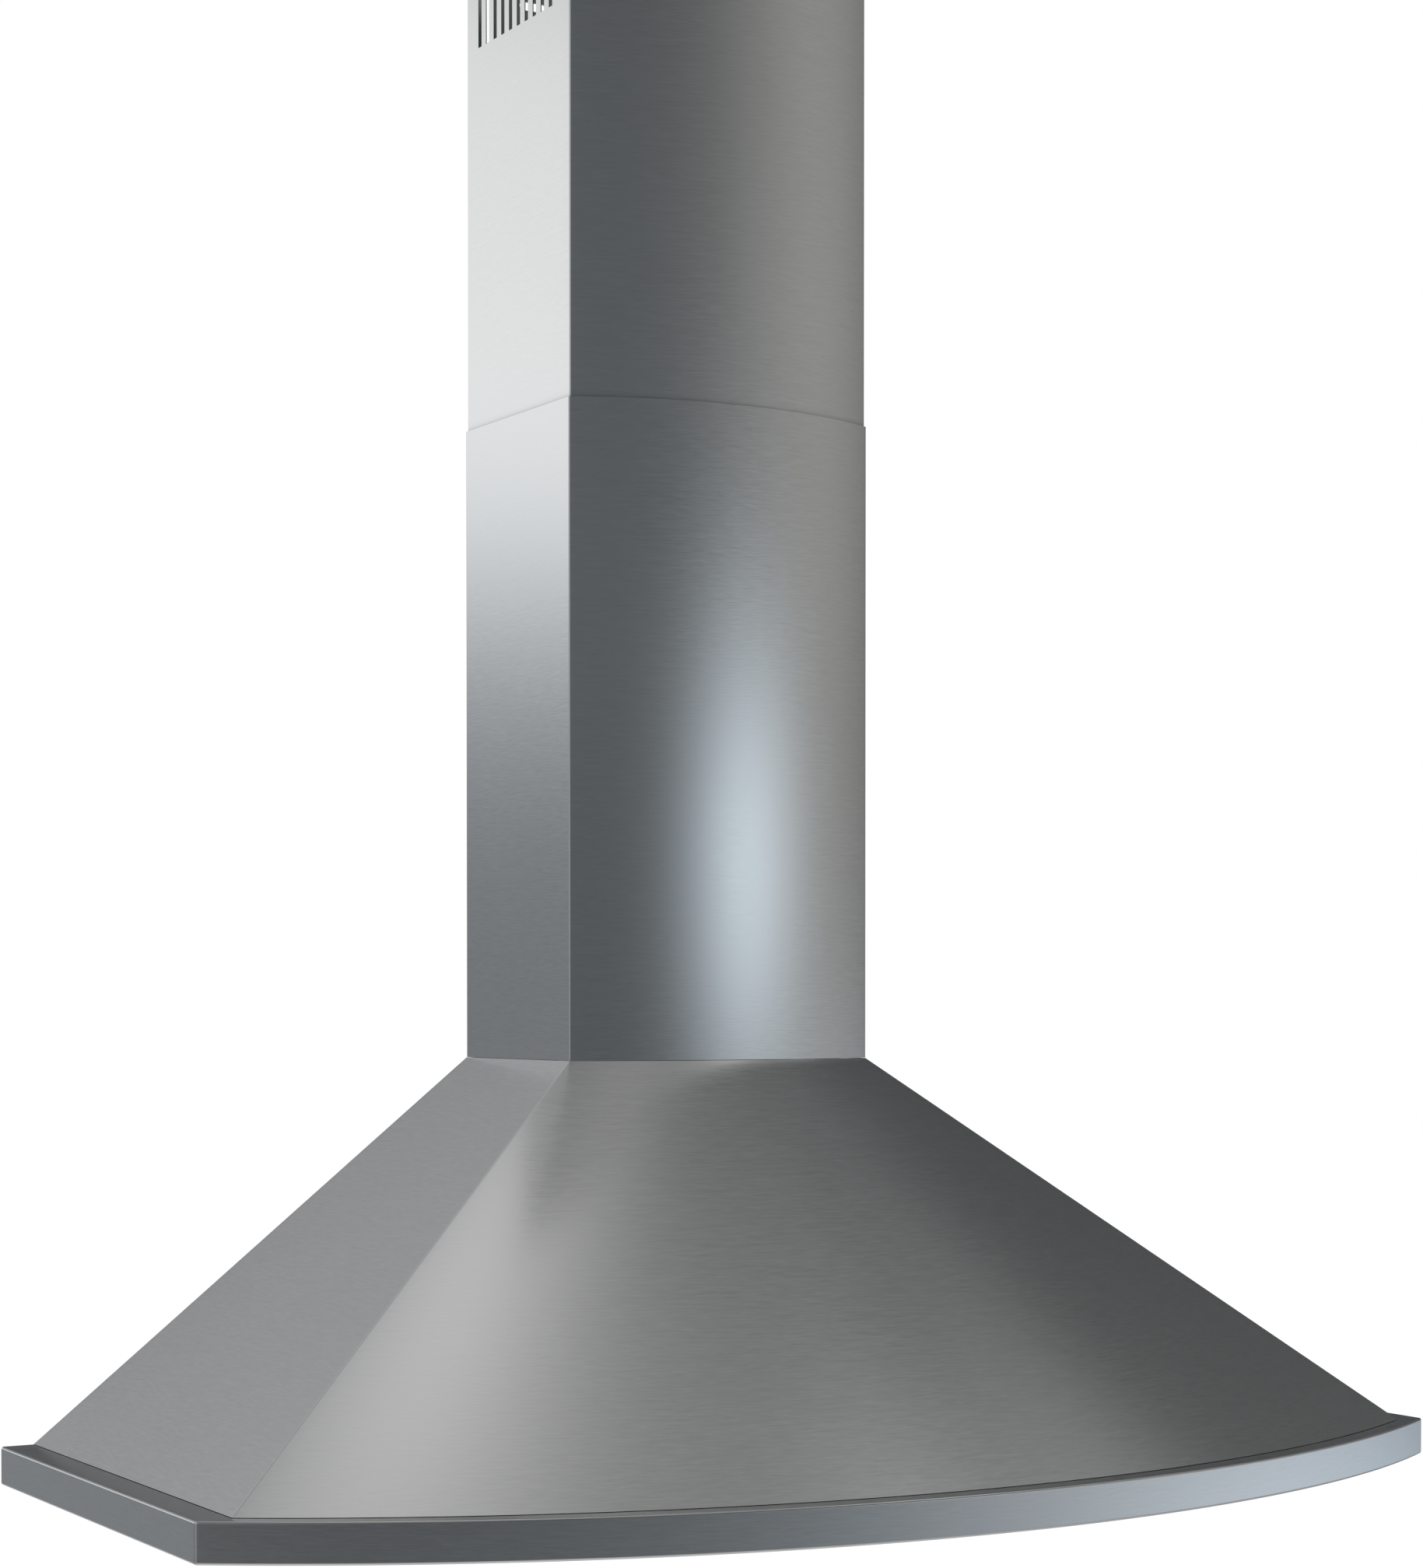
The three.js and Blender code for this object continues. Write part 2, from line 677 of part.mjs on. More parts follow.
// Air outlet
function ovalRing(halfX, halfY, cornerRadius, steps) {
  const points = [];
  [[1, 1], [-1, 1], [-1, -1], [1, -1]].forEach(([sx, sy], quarter) => {
    for (let i = 0; i < steps; i += 1) {
      const angle = (Math.PI / 2) * (quarter + (i + 0.5) / steps);
      const x = sx * (halfX - cornerRadius) + cornerRadius * Math.cos(angle);
      const y = outlet.y + sy * (halfY - cornerRadius) + cornerRadius * Math.sin(angle);
      points.push([x, y]);
    }
  });
  return points;
}

function outletTransition() {
  const bottom = frameBottom + sheet + gap;
  const wall = 1.2;
  const neck = outlet.radius + 1.3;
  const level = (halfX, halfY, corner, z) => ({
    outer: ovalRing(halfX + wall, halfY + wall, corner + wall, 6),
    inner: ovalRing(halfX, halfY, corner, 6),
    z,
  });
  const levels = [
    level(78, 51, 4, bottom),
    level(78, 51, 4, bottom + 4),
    level(neck, neck, neck, outlet.neckTop - 14),
    level(neck, neck, neck, outlet.neckTop),
  ];
  const body = loft(levels, true);
  const flangeRing = plateZ(
    rectangle(-92, 92, outlet.y - 64, outlet.y + 64),
    bottom,
    bottom + wall,
    [ovalRing(78.6, 51.6, 4.6, 4)],
  );
  return join(body, flangeRing);
}

function damperCollar() {
  const inner = outlet.radius - 2;
  const bead = outlet.neckTop + gap;
  const stop = outlet.flapZ - 2.6;
  const foot = outlet.neckTop - 10;
  const outer = outlet.radius;
  const profile = [
    [inner, foot], [outer, foot], [outer, bead], [outer + 5, bead], [outer + 5, bead + 2.5],
    [outer, bead + 2.5], [outer, outlet.collarTop], [inner, outlet.collarTop], [inner, stop + 1.5],
    [inner - 3, stop + 1.5], [inner - 3, stop], [inner, stop - 3], [inner, foot],
  ];
  const ring = turnedZ(profile, 0, outlet.y, 24);
  return cut(ring, rodX(1.8, -outlet.radius - 5, outlet.radius + 5, outlet.y, outlet.flapZ, 12));
}

function damperFlap(side) {
  const radius = outlet.radius - 3.5;
  const start = 3.8;
  const half = 0.6;
  const z = outlet.flapZ;
  const limit = Math.asin(start / radius);
  const arc = Array.from({ length: 17 }, (_, i) => {
    const angle = limit + ((Math.PI - 2 * limit) * i) / 16;
    return [radius * Math.cos(angle), outlet.y + side * radius * Math.sin(angle)];
  });
  const leaf = plateZ(side > 0 ? arc : arc.reverse(), z - half, z + half);
  const places = side > 0 ? [-35, 45] : [-60, 20];
  const bore = rodX(1.9, -70, 70, outlet.y, z, 12);
  const knuckles = places.map((x) => {
    const tongue = side > 0
      ? block(x, x + 15, outlet.y, outlet.y + start + 1, z - half, z + half)
      : block(x, x + 15, outlet.y - start - 1, outlet.y, z - half, z + half);
    return cut(join(rodX(3.2, x, x + 15, outlet.y, z, 16), tongue), bore);
  });
  return join(leaf, ...knuckles);
}

function damperAxle() {
  return rodX(1.5, -outlet.radius + 0.2, outlet.radius - 0.2, outlet.y, outlet.flapZ, 12);
}

// Electrics
const junction = { x0: -235, x1: -130, front: -44, z0: 120, z1: 186, wall: 1.2 };
const glandX = -205;
const glandY = -23;

function junctionBox() {
  const { x0, x1, front, z0, z1, wall } = junction;
  const rear = panelFront;
  const outside = block(x0, x1, front, rear, z0, z1);
  const inside = block(x0 + wall, x1 - wall, front - 1, rear - wall, z0 + wall, z1 - wall);
  const glandHole = plateZ(circle(glandX, glandY, 8.3, 20), z1 - 3, z1 + 3);
  const leadHole = rodX(4.5, x1 - 3, x1 + 3, -20, 150, 12);
  const controlHole = plateZ(circle(-180, -23, 4.5, 12), z0 - 3, z0 + 3);
  return cut(outside, inside, glandHole, leadHole, controlHole);
}

function junctionBoxCover() {
  const { x0, x1, front, z0, z1, wall } = junction;
  const face = front - gap;
  const lip = wall + gap;
  const tray = block(x0 - lip, x1 + lip, face - wall, front + 3, z0 - lip, z1 + lip);
  return cut(tray, block(x0 - gap, x1 + gap, face, front + 4, z0 - gap, z1 + gap));
}

function cableGland() {
  const { z1 } = junction;
  const profile = [
    [5, z1 - 6], [8, z1 - 6], [8, z1 + gap], [12, z1 + gap], [12, z1 + 6], [10, z1 + 7], [9, z1 + 16],
    [5, z1 + 16], [5, z1 - 6],
  ];
  return turnedZ(profile, glandX, glandY, 16);
}

function capacitor() {
  const x = -150;
  const y = -24;
  const bottom = junction.z1 + gap;
  const profile = [
    [0, bottom], [15, bottom], [16, bottom + 2], [16, bottom + 56], [14, bottom + 58], [0, bottom + 58],
    [0, bottom],
  ];
  return turnedZ(profile, x, y, 16);
}

function motorLead() {
  const x = (motor.start + motor.end) / 2 + 6;
  const points = [
    [junction.x1 - 5, -20, 150], [-90, -19, 150], [0, -18, 152], [70, -19, 156], [110, -30, 164],
    [x, -70, 178], [x, blower.y + motor.radius + 1.2, blower.z],
  ];
  return wire(points, 3, 22);
}

function controlLead() {
  const boxEdge = -control.halfLength + 5.6 - gap;
  const points = [
    [boxEdge - 0.2, control.y, linerBottom + 12], [-130, -478, linerBottom + 18], [-240, -452, 48],
    [-350, -412, 58], [-425, -330, 62], [-440, -200, 66], [-415, -80, 74], [-330, -26, 86], [-230, -22, 92],
    [-190, -22, 96], [-180, -23, 106], [-180, -23, junction.z0 - 4], [-180, -23, junction.z0 + 5],
  ];
  return wire(points, 3, 40);
}

// Assembly
part("rim_band", rimBand(), brushedSteel);
part("canopy_shell", canopyShell(), brushedSteel);
part("back_panel", backPanel(), galvanised);
part("bottom_liner", bottomLiner(), brushedSteel);
part("top_frame", topFrame(), galvanised);
part("lower_chimney", chimneyCover(chimneyPlan, 0, canopyTop + gap, lowerChimneyTop), brushedSteel);
part("upper_chimney", upperChimneyCover(), brushedSteel);
part("upper_wall_bracket", upperWallBracket(), galvanised);
lamps().forEach(([side, where]) => {
  part(`chimney_bracket_${where}`, chimneyBracket(side), galvanised);
  part(`upper_chimney_screw_${where}`, coverScrew(side), wireSteel);
});

addFilters();
const rodReach = 1.5 * filter.pitch + 3;
part("filter_pivot_rod", rodX(pivot.radius, -rodReach, rodReach, pivot.y, pivot.z, 12), wireSteel);

part("blower_wrap", blowerWrap(), galvanised);
part("blower_side_plate_left", blowerSidePlate(-1), galvanised);
part("blower_side_plate_right", blowerSidePlate(1), galvanised);
part("impeller", impeller(), greyPlastic);
part("motor_shaft", motorShaft(), wireSteel);
part("motor", motorBody(), paintedMotor);
part("motor_bracket", motorBracket(), galvanised);

part("outlet_transition", outletTransition(), galvanised);
part("damper_collar", damperCollar(), darkPlastic);
part("damper_flap_front", damperFlap(-1), darkPlastic);
part("damper_flap_rear", damperFlap(1), darkPlastic);
part("damper_axle", damperAxle(), wireSteel);

part("junction_box", junctionBox(), galvanised);
part("junction_box_cover", junctionBoxCover(), galvanised);
part("cable_gland", cableGland(), darkPlastic);
part("capacitor", capacitor(), greyPlastic);
part("motor_lead", motorLead(), rubberLead);
part("control_lead", controlLead(), rubberLead);

lamps().forEach(([side, where]) => {
  part(`lamp_housing_${where}`, lampHousing(side * lamp.x), wireSteel);
  part(`lamp_lens_${where}`, lampLens(side * lamp.x), lensGlass);
});
part("control_panel", controlPanel(), darkPlastic);
part("control_box", controlBox(), greyPlastic);
part("control_board", controlBoard(), boardGreen);
buttonNames.forEach((name, i) => part(`button_${name}`, pushButton(i), greyPlastic));

hood.position.z = -hangHeight;

export default hood;
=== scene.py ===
import bpy
import bmesh
import json
import math
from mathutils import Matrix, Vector


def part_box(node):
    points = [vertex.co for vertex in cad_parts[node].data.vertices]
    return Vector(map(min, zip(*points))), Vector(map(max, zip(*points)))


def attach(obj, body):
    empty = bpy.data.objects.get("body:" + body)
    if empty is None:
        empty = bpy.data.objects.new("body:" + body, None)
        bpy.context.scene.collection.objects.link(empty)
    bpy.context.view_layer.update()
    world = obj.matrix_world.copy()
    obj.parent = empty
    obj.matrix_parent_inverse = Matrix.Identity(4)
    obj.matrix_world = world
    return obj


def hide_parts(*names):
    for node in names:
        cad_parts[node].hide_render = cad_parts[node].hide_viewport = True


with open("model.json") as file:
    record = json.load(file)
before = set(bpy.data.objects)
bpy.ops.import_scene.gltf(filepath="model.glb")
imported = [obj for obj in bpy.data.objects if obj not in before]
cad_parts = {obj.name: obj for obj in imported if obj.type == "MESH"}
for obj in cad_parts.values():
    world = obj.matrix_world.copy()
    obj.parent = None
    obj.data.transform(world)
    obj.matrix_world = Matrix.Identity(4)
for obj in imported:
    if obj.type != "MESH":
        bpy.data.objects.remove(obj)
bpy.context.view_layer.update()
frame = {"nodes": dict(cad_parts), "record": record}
mm = 0.001


# places taken from the frame

rimLow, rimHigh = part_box("rim_band")
footHeight = rimLow.z    # heights in the settings count from the rim's bottom
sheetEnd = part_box("back_panel")[0].y - 0.3 * mm    # the folded sheets stop just short of the back panel


def height(value):
    return footHeight + value


# small tools for working on a mesh

def editedMesh():
    return bmesh.from_edit_mesh(bpy.context.edit_object.data)


def refresh():
    bmesh.update_edit_mesh(bpy.context.edit_object.data)


def startPiece(name):
    # an empty mesh in edit mode, ready for points and lines
    bpy.ops.object.select_all(action="DESELECT")
    bpy.ops.mesh.primitive_plane_add(size=mm)
    piece = bpy.context.object
    piece.name = name
    piece.data.name = name
    startEdit()
    bpy.ops.mesh.select_mode(type="VERT")
    bpy.ops.mesh.delete(type="VERT")
    return piece


def selectVerts(test):
    bpy.ops.mesh.select_mode(type="VERT")
    bpy.ops.mesh.select_all(action="DESELECT")
    mesh = editedMesh()
    for vert in mesh.verts:
        vert.select = bool(test(vert.co))
    mesh.select_flush(True)
    refresh()


def selectFaces(test):
    bpy.ops.mesh.select_mode(type="FACE")
    bpy.ops.mesh.select_all(action="DESELECT")
    mesh = editedMesh()
    for face in mesh.faces:
        face.select = bool(test(face.calc_center_median(), face.normal))
    mesh.select_flush(False)
    refresh()


def near(a, b, reach=0.02 * mm):
    return abs(a - b) < reach


def placeKey(co):
    # a vertex is known by its place, to a hundredth of a millimetre
    return tuple(round(value * 1e5) for value in co)


def placesNow():
    return {placeKey(vert.co) for vert in editedMesh().verts}


def selectPlaces(places):
    selectVerts(lambda co: placeKey(co) in places)


def addPoint(x, y, z):
    bpy.ops.mesh.select_all(action="DESELECT")
    bpy.ops.mesh.primitive_plane_add(size=0.1 * mm, location=(x, y, z))
    bpy.ops.mesh.merge(type="CENTER")


def extrudeBy(x, y, z):
    bpy.ops.mesh.extrude_region_move(TRANSFORM_OT_translate={"value": (x, y, z)})


def faceOut(test, direction):
    # turns the whole sheet round when the face that passes the test looks the wrong way
    bpy.ops.mesh.select_all(action="SELECT")
    bpy.ops.mesh.normals_make_consistent(inside=False)
    mesh = editedMesh()
    face = next(f for f in mesh.faces if test(f.calc_center_median()))
    if face.normal.dot(Vector(direction)) < 0:
        bpy.ops.mesh.flip_normals()
    refresh()


def startEdit():
    bpy.ops.object.mode_set(mode="EDIT")


def endEdit():
    bpy.ops.object.mode_set(mode="OBJECT")


def pick(piece):
    bpy.ops.object.select_all(action="DESELECT")
    piece.select_set(True)
    bpy.context.view_layer.objects.active = piece


def useModifier(piece, kind, **settings):
    pick(piece)
    modifier = piece.modifiers.new(kind.title(), kind)
    for key, value in settings.items():
        setattr(modifier, key, value)
    bpy.ops.object.modifier_apply(modifier=modifier.name)


def softEdges(piece, width, segments=3, angle=30):
    useModifier(piece, "BEVEL", width=width, segments=segments, limit_method="ANGLE",
                angle_limit=math.radians(angle), harden_normals=False)


def thicken(piece, thickness, offset=-1):
    useModifier(piece, "SOLIDIFY", thickness=thickness, offset=offset, use_even_offset=True)


def addBox(x0, x1, y0, y1, z0, z1):
    bpy.ops.object.select_all(action="DESELECT")
    bpy.ops.mesh.primitive_cube_add(size=1, location=((x0 + x1) / 2, (y0 + y1) / 2, (z0 + z1) / 2))
    bpy.ops.transform.resize(value=(x1 - x0, y1 - y0, z1 - z0))
    bpy.ops.object.transform_apply(location=True, rotation=True, scale=True)
    return bpy.context.object


def addRod(radius, start, end, steps=32):
    # a round bar from one point to another along X or Z
    start, end = Vector(start), Vector(end)
    turn = (0, math.pi / 2, 0) if abs(end.x - start.x) > abs(end.z - start.z) else (0, 0, 0)
    bpy.ops.object.select_all(action="DESELECT")
    bpy.ops.mesh.primitive_cylinder_add(vertices=steps, radius=radius, depth=(end - start).length,
                                        location=(start + end) / 2, rotation=turn)
    bpy.ops.object.transform_apply(location=True, rotation=True, scale=True)
    return bpy.context.object


def turned(name, profile, x, y, steps=48):
    # a profile of radius and height, spun about the upright through (x, y)
    # it starts and ends on that line, or closes on itself
    piece = startPiece(name)
    radius, level = profile[0]
    addPoint(x + radius, y, level)
    for nextRadius, nextLevel in profile[1:]:
        extrudeBy(nextRadius - radius, 0, nextLevel - level)
        radius, level = nextRadius, nextLevel
    bpy.ops.mesh.select_all(action="SELECT")
    bpy.ops.mesh.spin(steps=steps, angle=2 * math.pi, center=(x, y, 0), axis=(0, 0, 1))
    bpy.ops.mesh.select_all(action="SELECT")
    bpy.ops.mesh.remove_doubles(threshold=0.01 * mm)
    bpy.ops.mesh.normals_make_consistent(inside=False)
    endEdit()
    return piece


def cutAway(piece, *tools):
    for tool in tools:
        useModifier(piece, "BOOLEAN", operation="DIFFERENCE", object=tool, solver="EXACT")
        bpy.data.objects.remove(tool, do_unlink=True)


def joined(piece, *others):
    bpy.ops.object.select_all(action="DESELECT")
    for other in others:
        other.select_set(True)
    piece.select_set(True)
    bpy.context.view_layer.objects.active = piece
    bpy.ops.object.join()
    return piece


def rectangleLine(x0, x1, y0, y1, z, cuts=0):
    # a closed level outline; cuts is how many points are added to each side
    before = placesNow()
    addPoint(x0, y0, z)
    extrudeBy(x1 - x0, 0, 0)
    extrudeBy(0, y1 - y0, 0)
    extrudeBy(x0 - x1, 0, 0)
    extrudeBy(0, y0 - y1, 0)
    selectPlaces(placesNow() - before)
    bpy.ops.mesh.remove_doubles(threshold=0.01 * mm)
    if cuts:
        bpy.ops.mesh.subdivide(number_cuts=cuts)
    return placesNow() - before


def circleLine(radius, x, y, z, steps):
    before = placesNow()
    bpy.ops.mesh.select_all(action="DESELECT")
    bpy.ops.mesh.primitive_circle_add(vertices=steps, radius=radius, location=(x, y, z))
    return placesNow() - before


def settle(piece, angle=35):
    # puts the object's place into its mesh and shades it
    pick(piece)
    bpy.ops.object.transform_apply(location=True, rotation=True, scale=True)
    bpy.ops.object.shade_smooth_by_angle(angle=math.radians(angle))
    useModifier(piece, "WEIGHTED_NORMAL", keep_sharp=True, weight=100)


def finishPiece(piece, look, slotName, body, *nodes):
    piece.name = piece.data.name = nodes[0] + "_visual"
    settle(piece)
    piece.data.materials.clear()
    piece.data.materials.append(look)
    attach(piece, body)
    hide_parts(*nodes)


# materials

class Number:
    def __init__(self, recipe, socket):
        self.recipe = recipe
        self.socket = socket

    def maths(self, operation, *others):
        return self.recipe.add("ShaderNodeMath", {"operation": operation}, [self, *others])

    def __add__(self, other):
        return self.maths("ADD", other)

    def __sub__(self, other):
        return self.maths("SUBTRACT", other)

    def __rsub__(self, other):
        return self.recipe.add("ShaderNodeMath", {"operation": "SUBTRACT"}, [other, self])

    def __mul__(self, other):
        return self.maths("MULTIPLY", other)

    def __truediv__(self, other):
        return self.maths("DIVIDE", other)

    def __pow__(self, other):
        return self.maths("POWER", other)

    __radd__ = __add__
    __rmul__ = __mul__


class Recipe:
    def __init__(self, tree):
        self.tree = tree

    def add(self, kind, settings=None, inputs=None, output=0):
        node = self.tree.nodes.new(kind)
        for key, value in (settings or {}).items():
            if key == "stops":
                self.setStops(node.color_ramp, value)
            else:
                setattr(node, key, value)
        pairs = inputs.items() if isinstance(inputs, dict) else enumerate(inputs or [])
        for key, value in pairs:
            self.feed(node.inputs[key], value)
        return Number(self, node.outputs[output])

    def feed(self, socket, value):
        if isinstance(value, Number):
            self.tree.links.new(value.socket, socket)
        else:
            socket.default_value = value

    def setStops(self, ramp, stops):
        while len(ramp.elements) < len(stops):
            ramp.elements.new(0.5)
        for element, (place, value) in zip(ramp.elements, stops):
            element.position = place
            element.color = (value, value, value, 1)

    def blend(self, share, low, high):
        return self.add("ShaderNodeMix", {"data_type": "RGBA"}, {0: share, 6: low, 7: high}, output=2)


class Finish(Recipe):
    def __init__(self, name, **fixed):
        self.material = bpy.data.materials.new(name)
        self.material.use_nodes = True
        super().__init__(self.material.node_tree)
        self.shader = self.tree.nodes["Principled BSDF"]
        self.place = self.add("ShaderNodeTexCoord", output="Object")
        for key, value in fixed.items():
            self.shader.inputs[key].default_value = value

    def give(self, **values):
        for key, value in values.items():
            self.feed(self.shader.inputs[key.replace("_", " ")], value)

    def stretched(self, scale):
        return self.add("ShaderNodeMapping", None, {"Vector": self.place, "Scale": scale})

    def noise(self, scale, detail=2.0, roughness=0.5):
        return self.add("ShaderNodeTexNoise", None, {
            "Vector": self.stretched(scale), "Scale": 1.0, "Detail": detail, "Roughness": roughness})

    def bump(self, heightValue, distance, strength=1.0):
        return self.add("ShaderNodeBump", None,
                        {"Height": heightValue, "Distance": distance, "Strength": strength})


def colour(red, green, blue):
    return (red, green, blue, 1)


# the last three settings paint a shade onto the colour just above the joint of the covers
steel = {"tone": (0.725, 0.728, 0.724), "filterTone": (0.74, 0.74, 0.74), "contrast": 0.16,
         "unevenGloss": 0.16, "groove": 0.012 * mm, "seamShadeColour": (0.05, 0.05, 0.05), "seamShadeDepth": 0.42,
         "seamShadeFade": 1.6 * mm}


def brushedSteel(name, grain, tone, roughness, paintedShadeAt=None):
    # grain is how fast the brushing changes along each axis, so it runs where that is slow
    # the last argument is the height of the joint between the covers; above it a painted shade darkens the
    # colour, strongest at the joint and fading upwards
    finish = Finish(name, Metallic=1.0)
    fine = finish.noise(grain, detail=4.0, roughness=0.7)
    broad = finish.noise([value * 0.3 for value in grain], detail=2.0)
    cloud = finish.noise((5, 5, 5), detail=2.0)
    streak = fine * 0.85 + broad * 0.15
    light = colour(*[value * (1 + steel["contrast"]) for value in tone])
    deep = colour(*[value * (1 - steel["contrast"]) for value in tone])
    tint = finish.blend(streak * 0.85 + cloud * 0.15, deep, light)
    # painted shade above the covers' joint, darkest at the joint
    if paintedShadeAt:
        upright = finish.add("ShaderNodeSeparateXYZ", None, [finish.place], output=2)
        line = ((upright - paintedShadeAt) * (-1 / steel["seamShadeFade"])).maths("EXPONENT").maths("MINIMUM", 1.0)
        tint = finish.blend(line * steel["seamShadeDepth"], tint, colour(*steel["seamShadeColour"]))
    gloss = roughness + (streak - 0.5) * steel["unevenGloss"] + (cloud - 0.5) * 0.03
    finish.give(Base_Color=tint, Roughness=gloss, Normal=finish.bump(fine, steel["groove"], 0.5))
    return finish.material


def innerShadeSheet():
    # the inner side of the skin, its colour a painted shade far darker than the steel, with a random mottle
    finish = Finish("innerShadeSheet", Metallic=1.0)
    stain = finish.noise((18, 18, 18), detail=4.0)
    tint = finish.blend(stain, colour(0.06, 0.06, 0.063), colour(0.11, 0.11, 0.113))
    finish.give(Base_Color=tint, Roughness=0.5 + stain * 0.2, Normal=finish.bump(stain, 0.05 * mm, 0.3))
    return finish.material


def shadedGalvanisedSheet():
    finish = Finish("shadedGalvanisedSheet", Metallic=1.0)
    crystals = finish.add("ShaderNodeTexVoronoi", None, {"Vector": finish.place, "Scale": 85.0},
                          output="Color")
    shine = finish.add("ShaderNodeSeparateColor", None, [crystals])
    cloud = finish.noise((14, 14, 14), detail=4.0)
    # zinc tones darkened throughout as a painted shade; the spangle crystals and cloud vary them at random
    tint = finish.blend(shine * 0.6 + cloud * 0.4, colour(0.38, 0.40, 0.41), colour(0.58, 0.60, 0.61))
    finish.give(Base_Color=tint, Roughness=0.36 + shine * 0.18, Normal=finish.bump(shine, 0.03 * mm, 0.3))
    return finish.material


def brightSteel():
    finish = Finish("brightSteel", Metallic=1.0)
    scuff = finish.noise((260, 260, 260), detail=3.0)
    tint = finish.blend(scuff, colour(0.66, 0.67, 0.68), colour(0.80, 0.80, 0.81))
    finish.give(Base_Color=tint, Roughness=0.14 + scuff * 0.12, Normal=finish.bump(scuff, 0.01 * mm, 0.3))
    return finish.material


def motorEnamel():
    finish = Finish("motorEnamel", Metallic=0.0)
    peel = finish.noise((420, 420, 420), detail=2.0)
    dust = finish.noise((30, 30, 30), detail=4.0)
    tint = finish.blend(dust, colour(0.018, 0.02, 0.024), colour(0.05, 0.053, 0.06))
    finish.give(Base_Color=tint, Roughness=0.32 + dust * 0.2, Normal=finish.bump(peel, 0.05 * mm, 0.4))
    return finish.material


def mouldedPlastic(name, low, high, roughness, grain=900):
    finish = Finish(name, Metallic=0.0)
    pebble = finish.noise((grain, grain, grain), detail=2.0)
    cloud = finish.noise((40, 40, 40), detail=3.0)
    finish.give(Base_Color=finish.blend(cloud, colour(*low), colour(*high)),
                Roughness=roughness + (pebble - 0.5) * 0.15, Normal=finish.bump(pebble, 0.04 * mm, 0.35))
    return finish.material


def lampGlass():
    finish = Finish("lampGlass", Metallic=0.0)
    ripple = finish.noise((500, 500, 500), detail=1.0)
    tint = finish.blend(ripple, colour(0.80, 0.79, 0.73), colour(0.90, 0.89, 0.84))
    finish.give(Base_Color=tint, Roughness=0.22 + ripple * 0.2, Normal=finish.bump(ripple, 0.1 * mm, 0.5))
    return finish.material


def circuitBoard():
    finish = Finish("circuitBoard", Metallic=0.0)
    track = finish.noise((220, 900, 40), detail=1.0)
    line = finish.add("ShaderNodeValToRGB", {"stops": [(0.47, 0.0), (0.53, 1.0)]}, [track])
    share = finish.add("ShaderNodeSeparateColor", None, [line])
    finish.give(Base_Color=finish.blend(share, colour(0.02, 0.11, 0.05), colour(0.06, 0.20, 0.09)),
                Roughness=0.4 + share * 0.15, Normal=finish.bump(share, 0.05 * mm, 0.5))
    return finish.material


skinSteel = brushedSteel("skinSteel", (65, 65, 1100), steel["tone"], 0.16)
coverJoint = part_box("lower_chimney")[1].z
# the upper cover's own copy of the skin steel, with a painted shade just above the joint
upperSteelShaded = brushedSteel("upperSteelShaded", (65, 65, 1100), steel["tone"], 0.16, paintedShadeAt=coverJoint)
innerShade = innerShadeSheet()
linerSteel = brushedSteel("linerSteel", (40, 650, 60), steel["tone"], 0.27)
filterSteel = brushedSteel("filterSteel", (650, 30, 650), steel["filterTone"], 0.22)
shadedZinc = shadedGalvanisedSheet()
bright = brightSteel()
enamel = motorEnamel()
blackPlastic = mouldedPlastic("blackPlastic", (0.015, 0.015, 0.017), (0.028, 0.028, 0.03), 0.5)
greyPlastic = mouldedPlastic("greyPlastic", (0.16, 0.17, 0.18), (0.20, 0.21, 0.22), 0.5)
buttonPlastic = mouldedPlastic("buttonPlastic", (0.34, 0.35, 0.36), (0.40, 0.41, 0.42), 0.3, grain=1500)
leadRubber = mouldedPlastic("leadRubber", (0.012, 0.012, 0.012), (0.024, 0.024, 0.024), 0.62, grain=700)
frosted = lampGlass()
board = circuitBoard()
print("materials made")


# the bowed plan that the whole skin follows

def bowPlan(halfWidth, sideDepth, bow):
    radius = (halfWidth ** 2 + bow ** 2) / (2 * bow)
    return {"halfWidth": halfWidth, "radius": radius, "centreY": radius - sideDepth - bow}


def insetPlan(plan, inset):
    return {**plan, "halfWidth": plan["halfWidth"] - inset, "radius": plan["radius"] - inset}


def cornerY(plan):
    return plan["centreY"] - math.sqrt(plan["radius"] ** 2 - plan["halfWidth"] ** 2)


def bowLine(plan, z, backY, steps, flange=0):
    # one open outline: side, bowed front, side, and an inward return at the wall where there is one
    before = placesNow()
    half, frontY = plan["halfWidth"], cornerY(plan)
    addPoint(-half, frontY, z)
    turn = -2 * math.asin(half / plan["radius"])
    bpy.ops.mesh.spin(steps=steps, angle=turn, center=(0, plan["centreY"], z), axis=(0, 0, 1))
    for side in (-1, 1):
        selectVerts(lambda co: near(co.x, side * half) and near(co.y, frontY) and near(co.z, z))
        extrudeBy(0, backY - frontY, 0)
        if flange:
            extrudeBy(-side * flange, 0, 0)
    return placesNow() - before


def joinLines(first, second, cuts=0):
    # bridges two outlines; cuts is how many rows of points go between them
    selectPlaces(first | second)
    bpy.ops.mesh.bridge_edge_loops(number_cuts=cuts, interpolation="LINEAR")


# rim, and the foot of the canopy that stands on its ledge

rim = {"halfWidth": rimHigh.x, "sideDepth": 410 * mm, "bow": 160 * mm, "height": rimHigh.z - rimLow.z,
       "lip": 10 * mm, "sheet": 1.2 * mm, "bend": 2.0 * mm, "steps": 120}
canopy = {"halfWidth": 504.2 * mm, "sideDepth": 410.3 * mm, "bow": 143 * mm, "sheet": 1.2 * mm,
          "bend": 0.8 * mm, "steps": 96, "cuts": 14, "tuck": 6 * mm, "gap": 0.3 * mm}
rimPlan = bowPlan(rim["halfWidth"], rim["sideDepth"], rim["bow"])
footPlan = bowPlan(canopy["halfWidth"], canopy["sideDepth"], canopy["bow"])


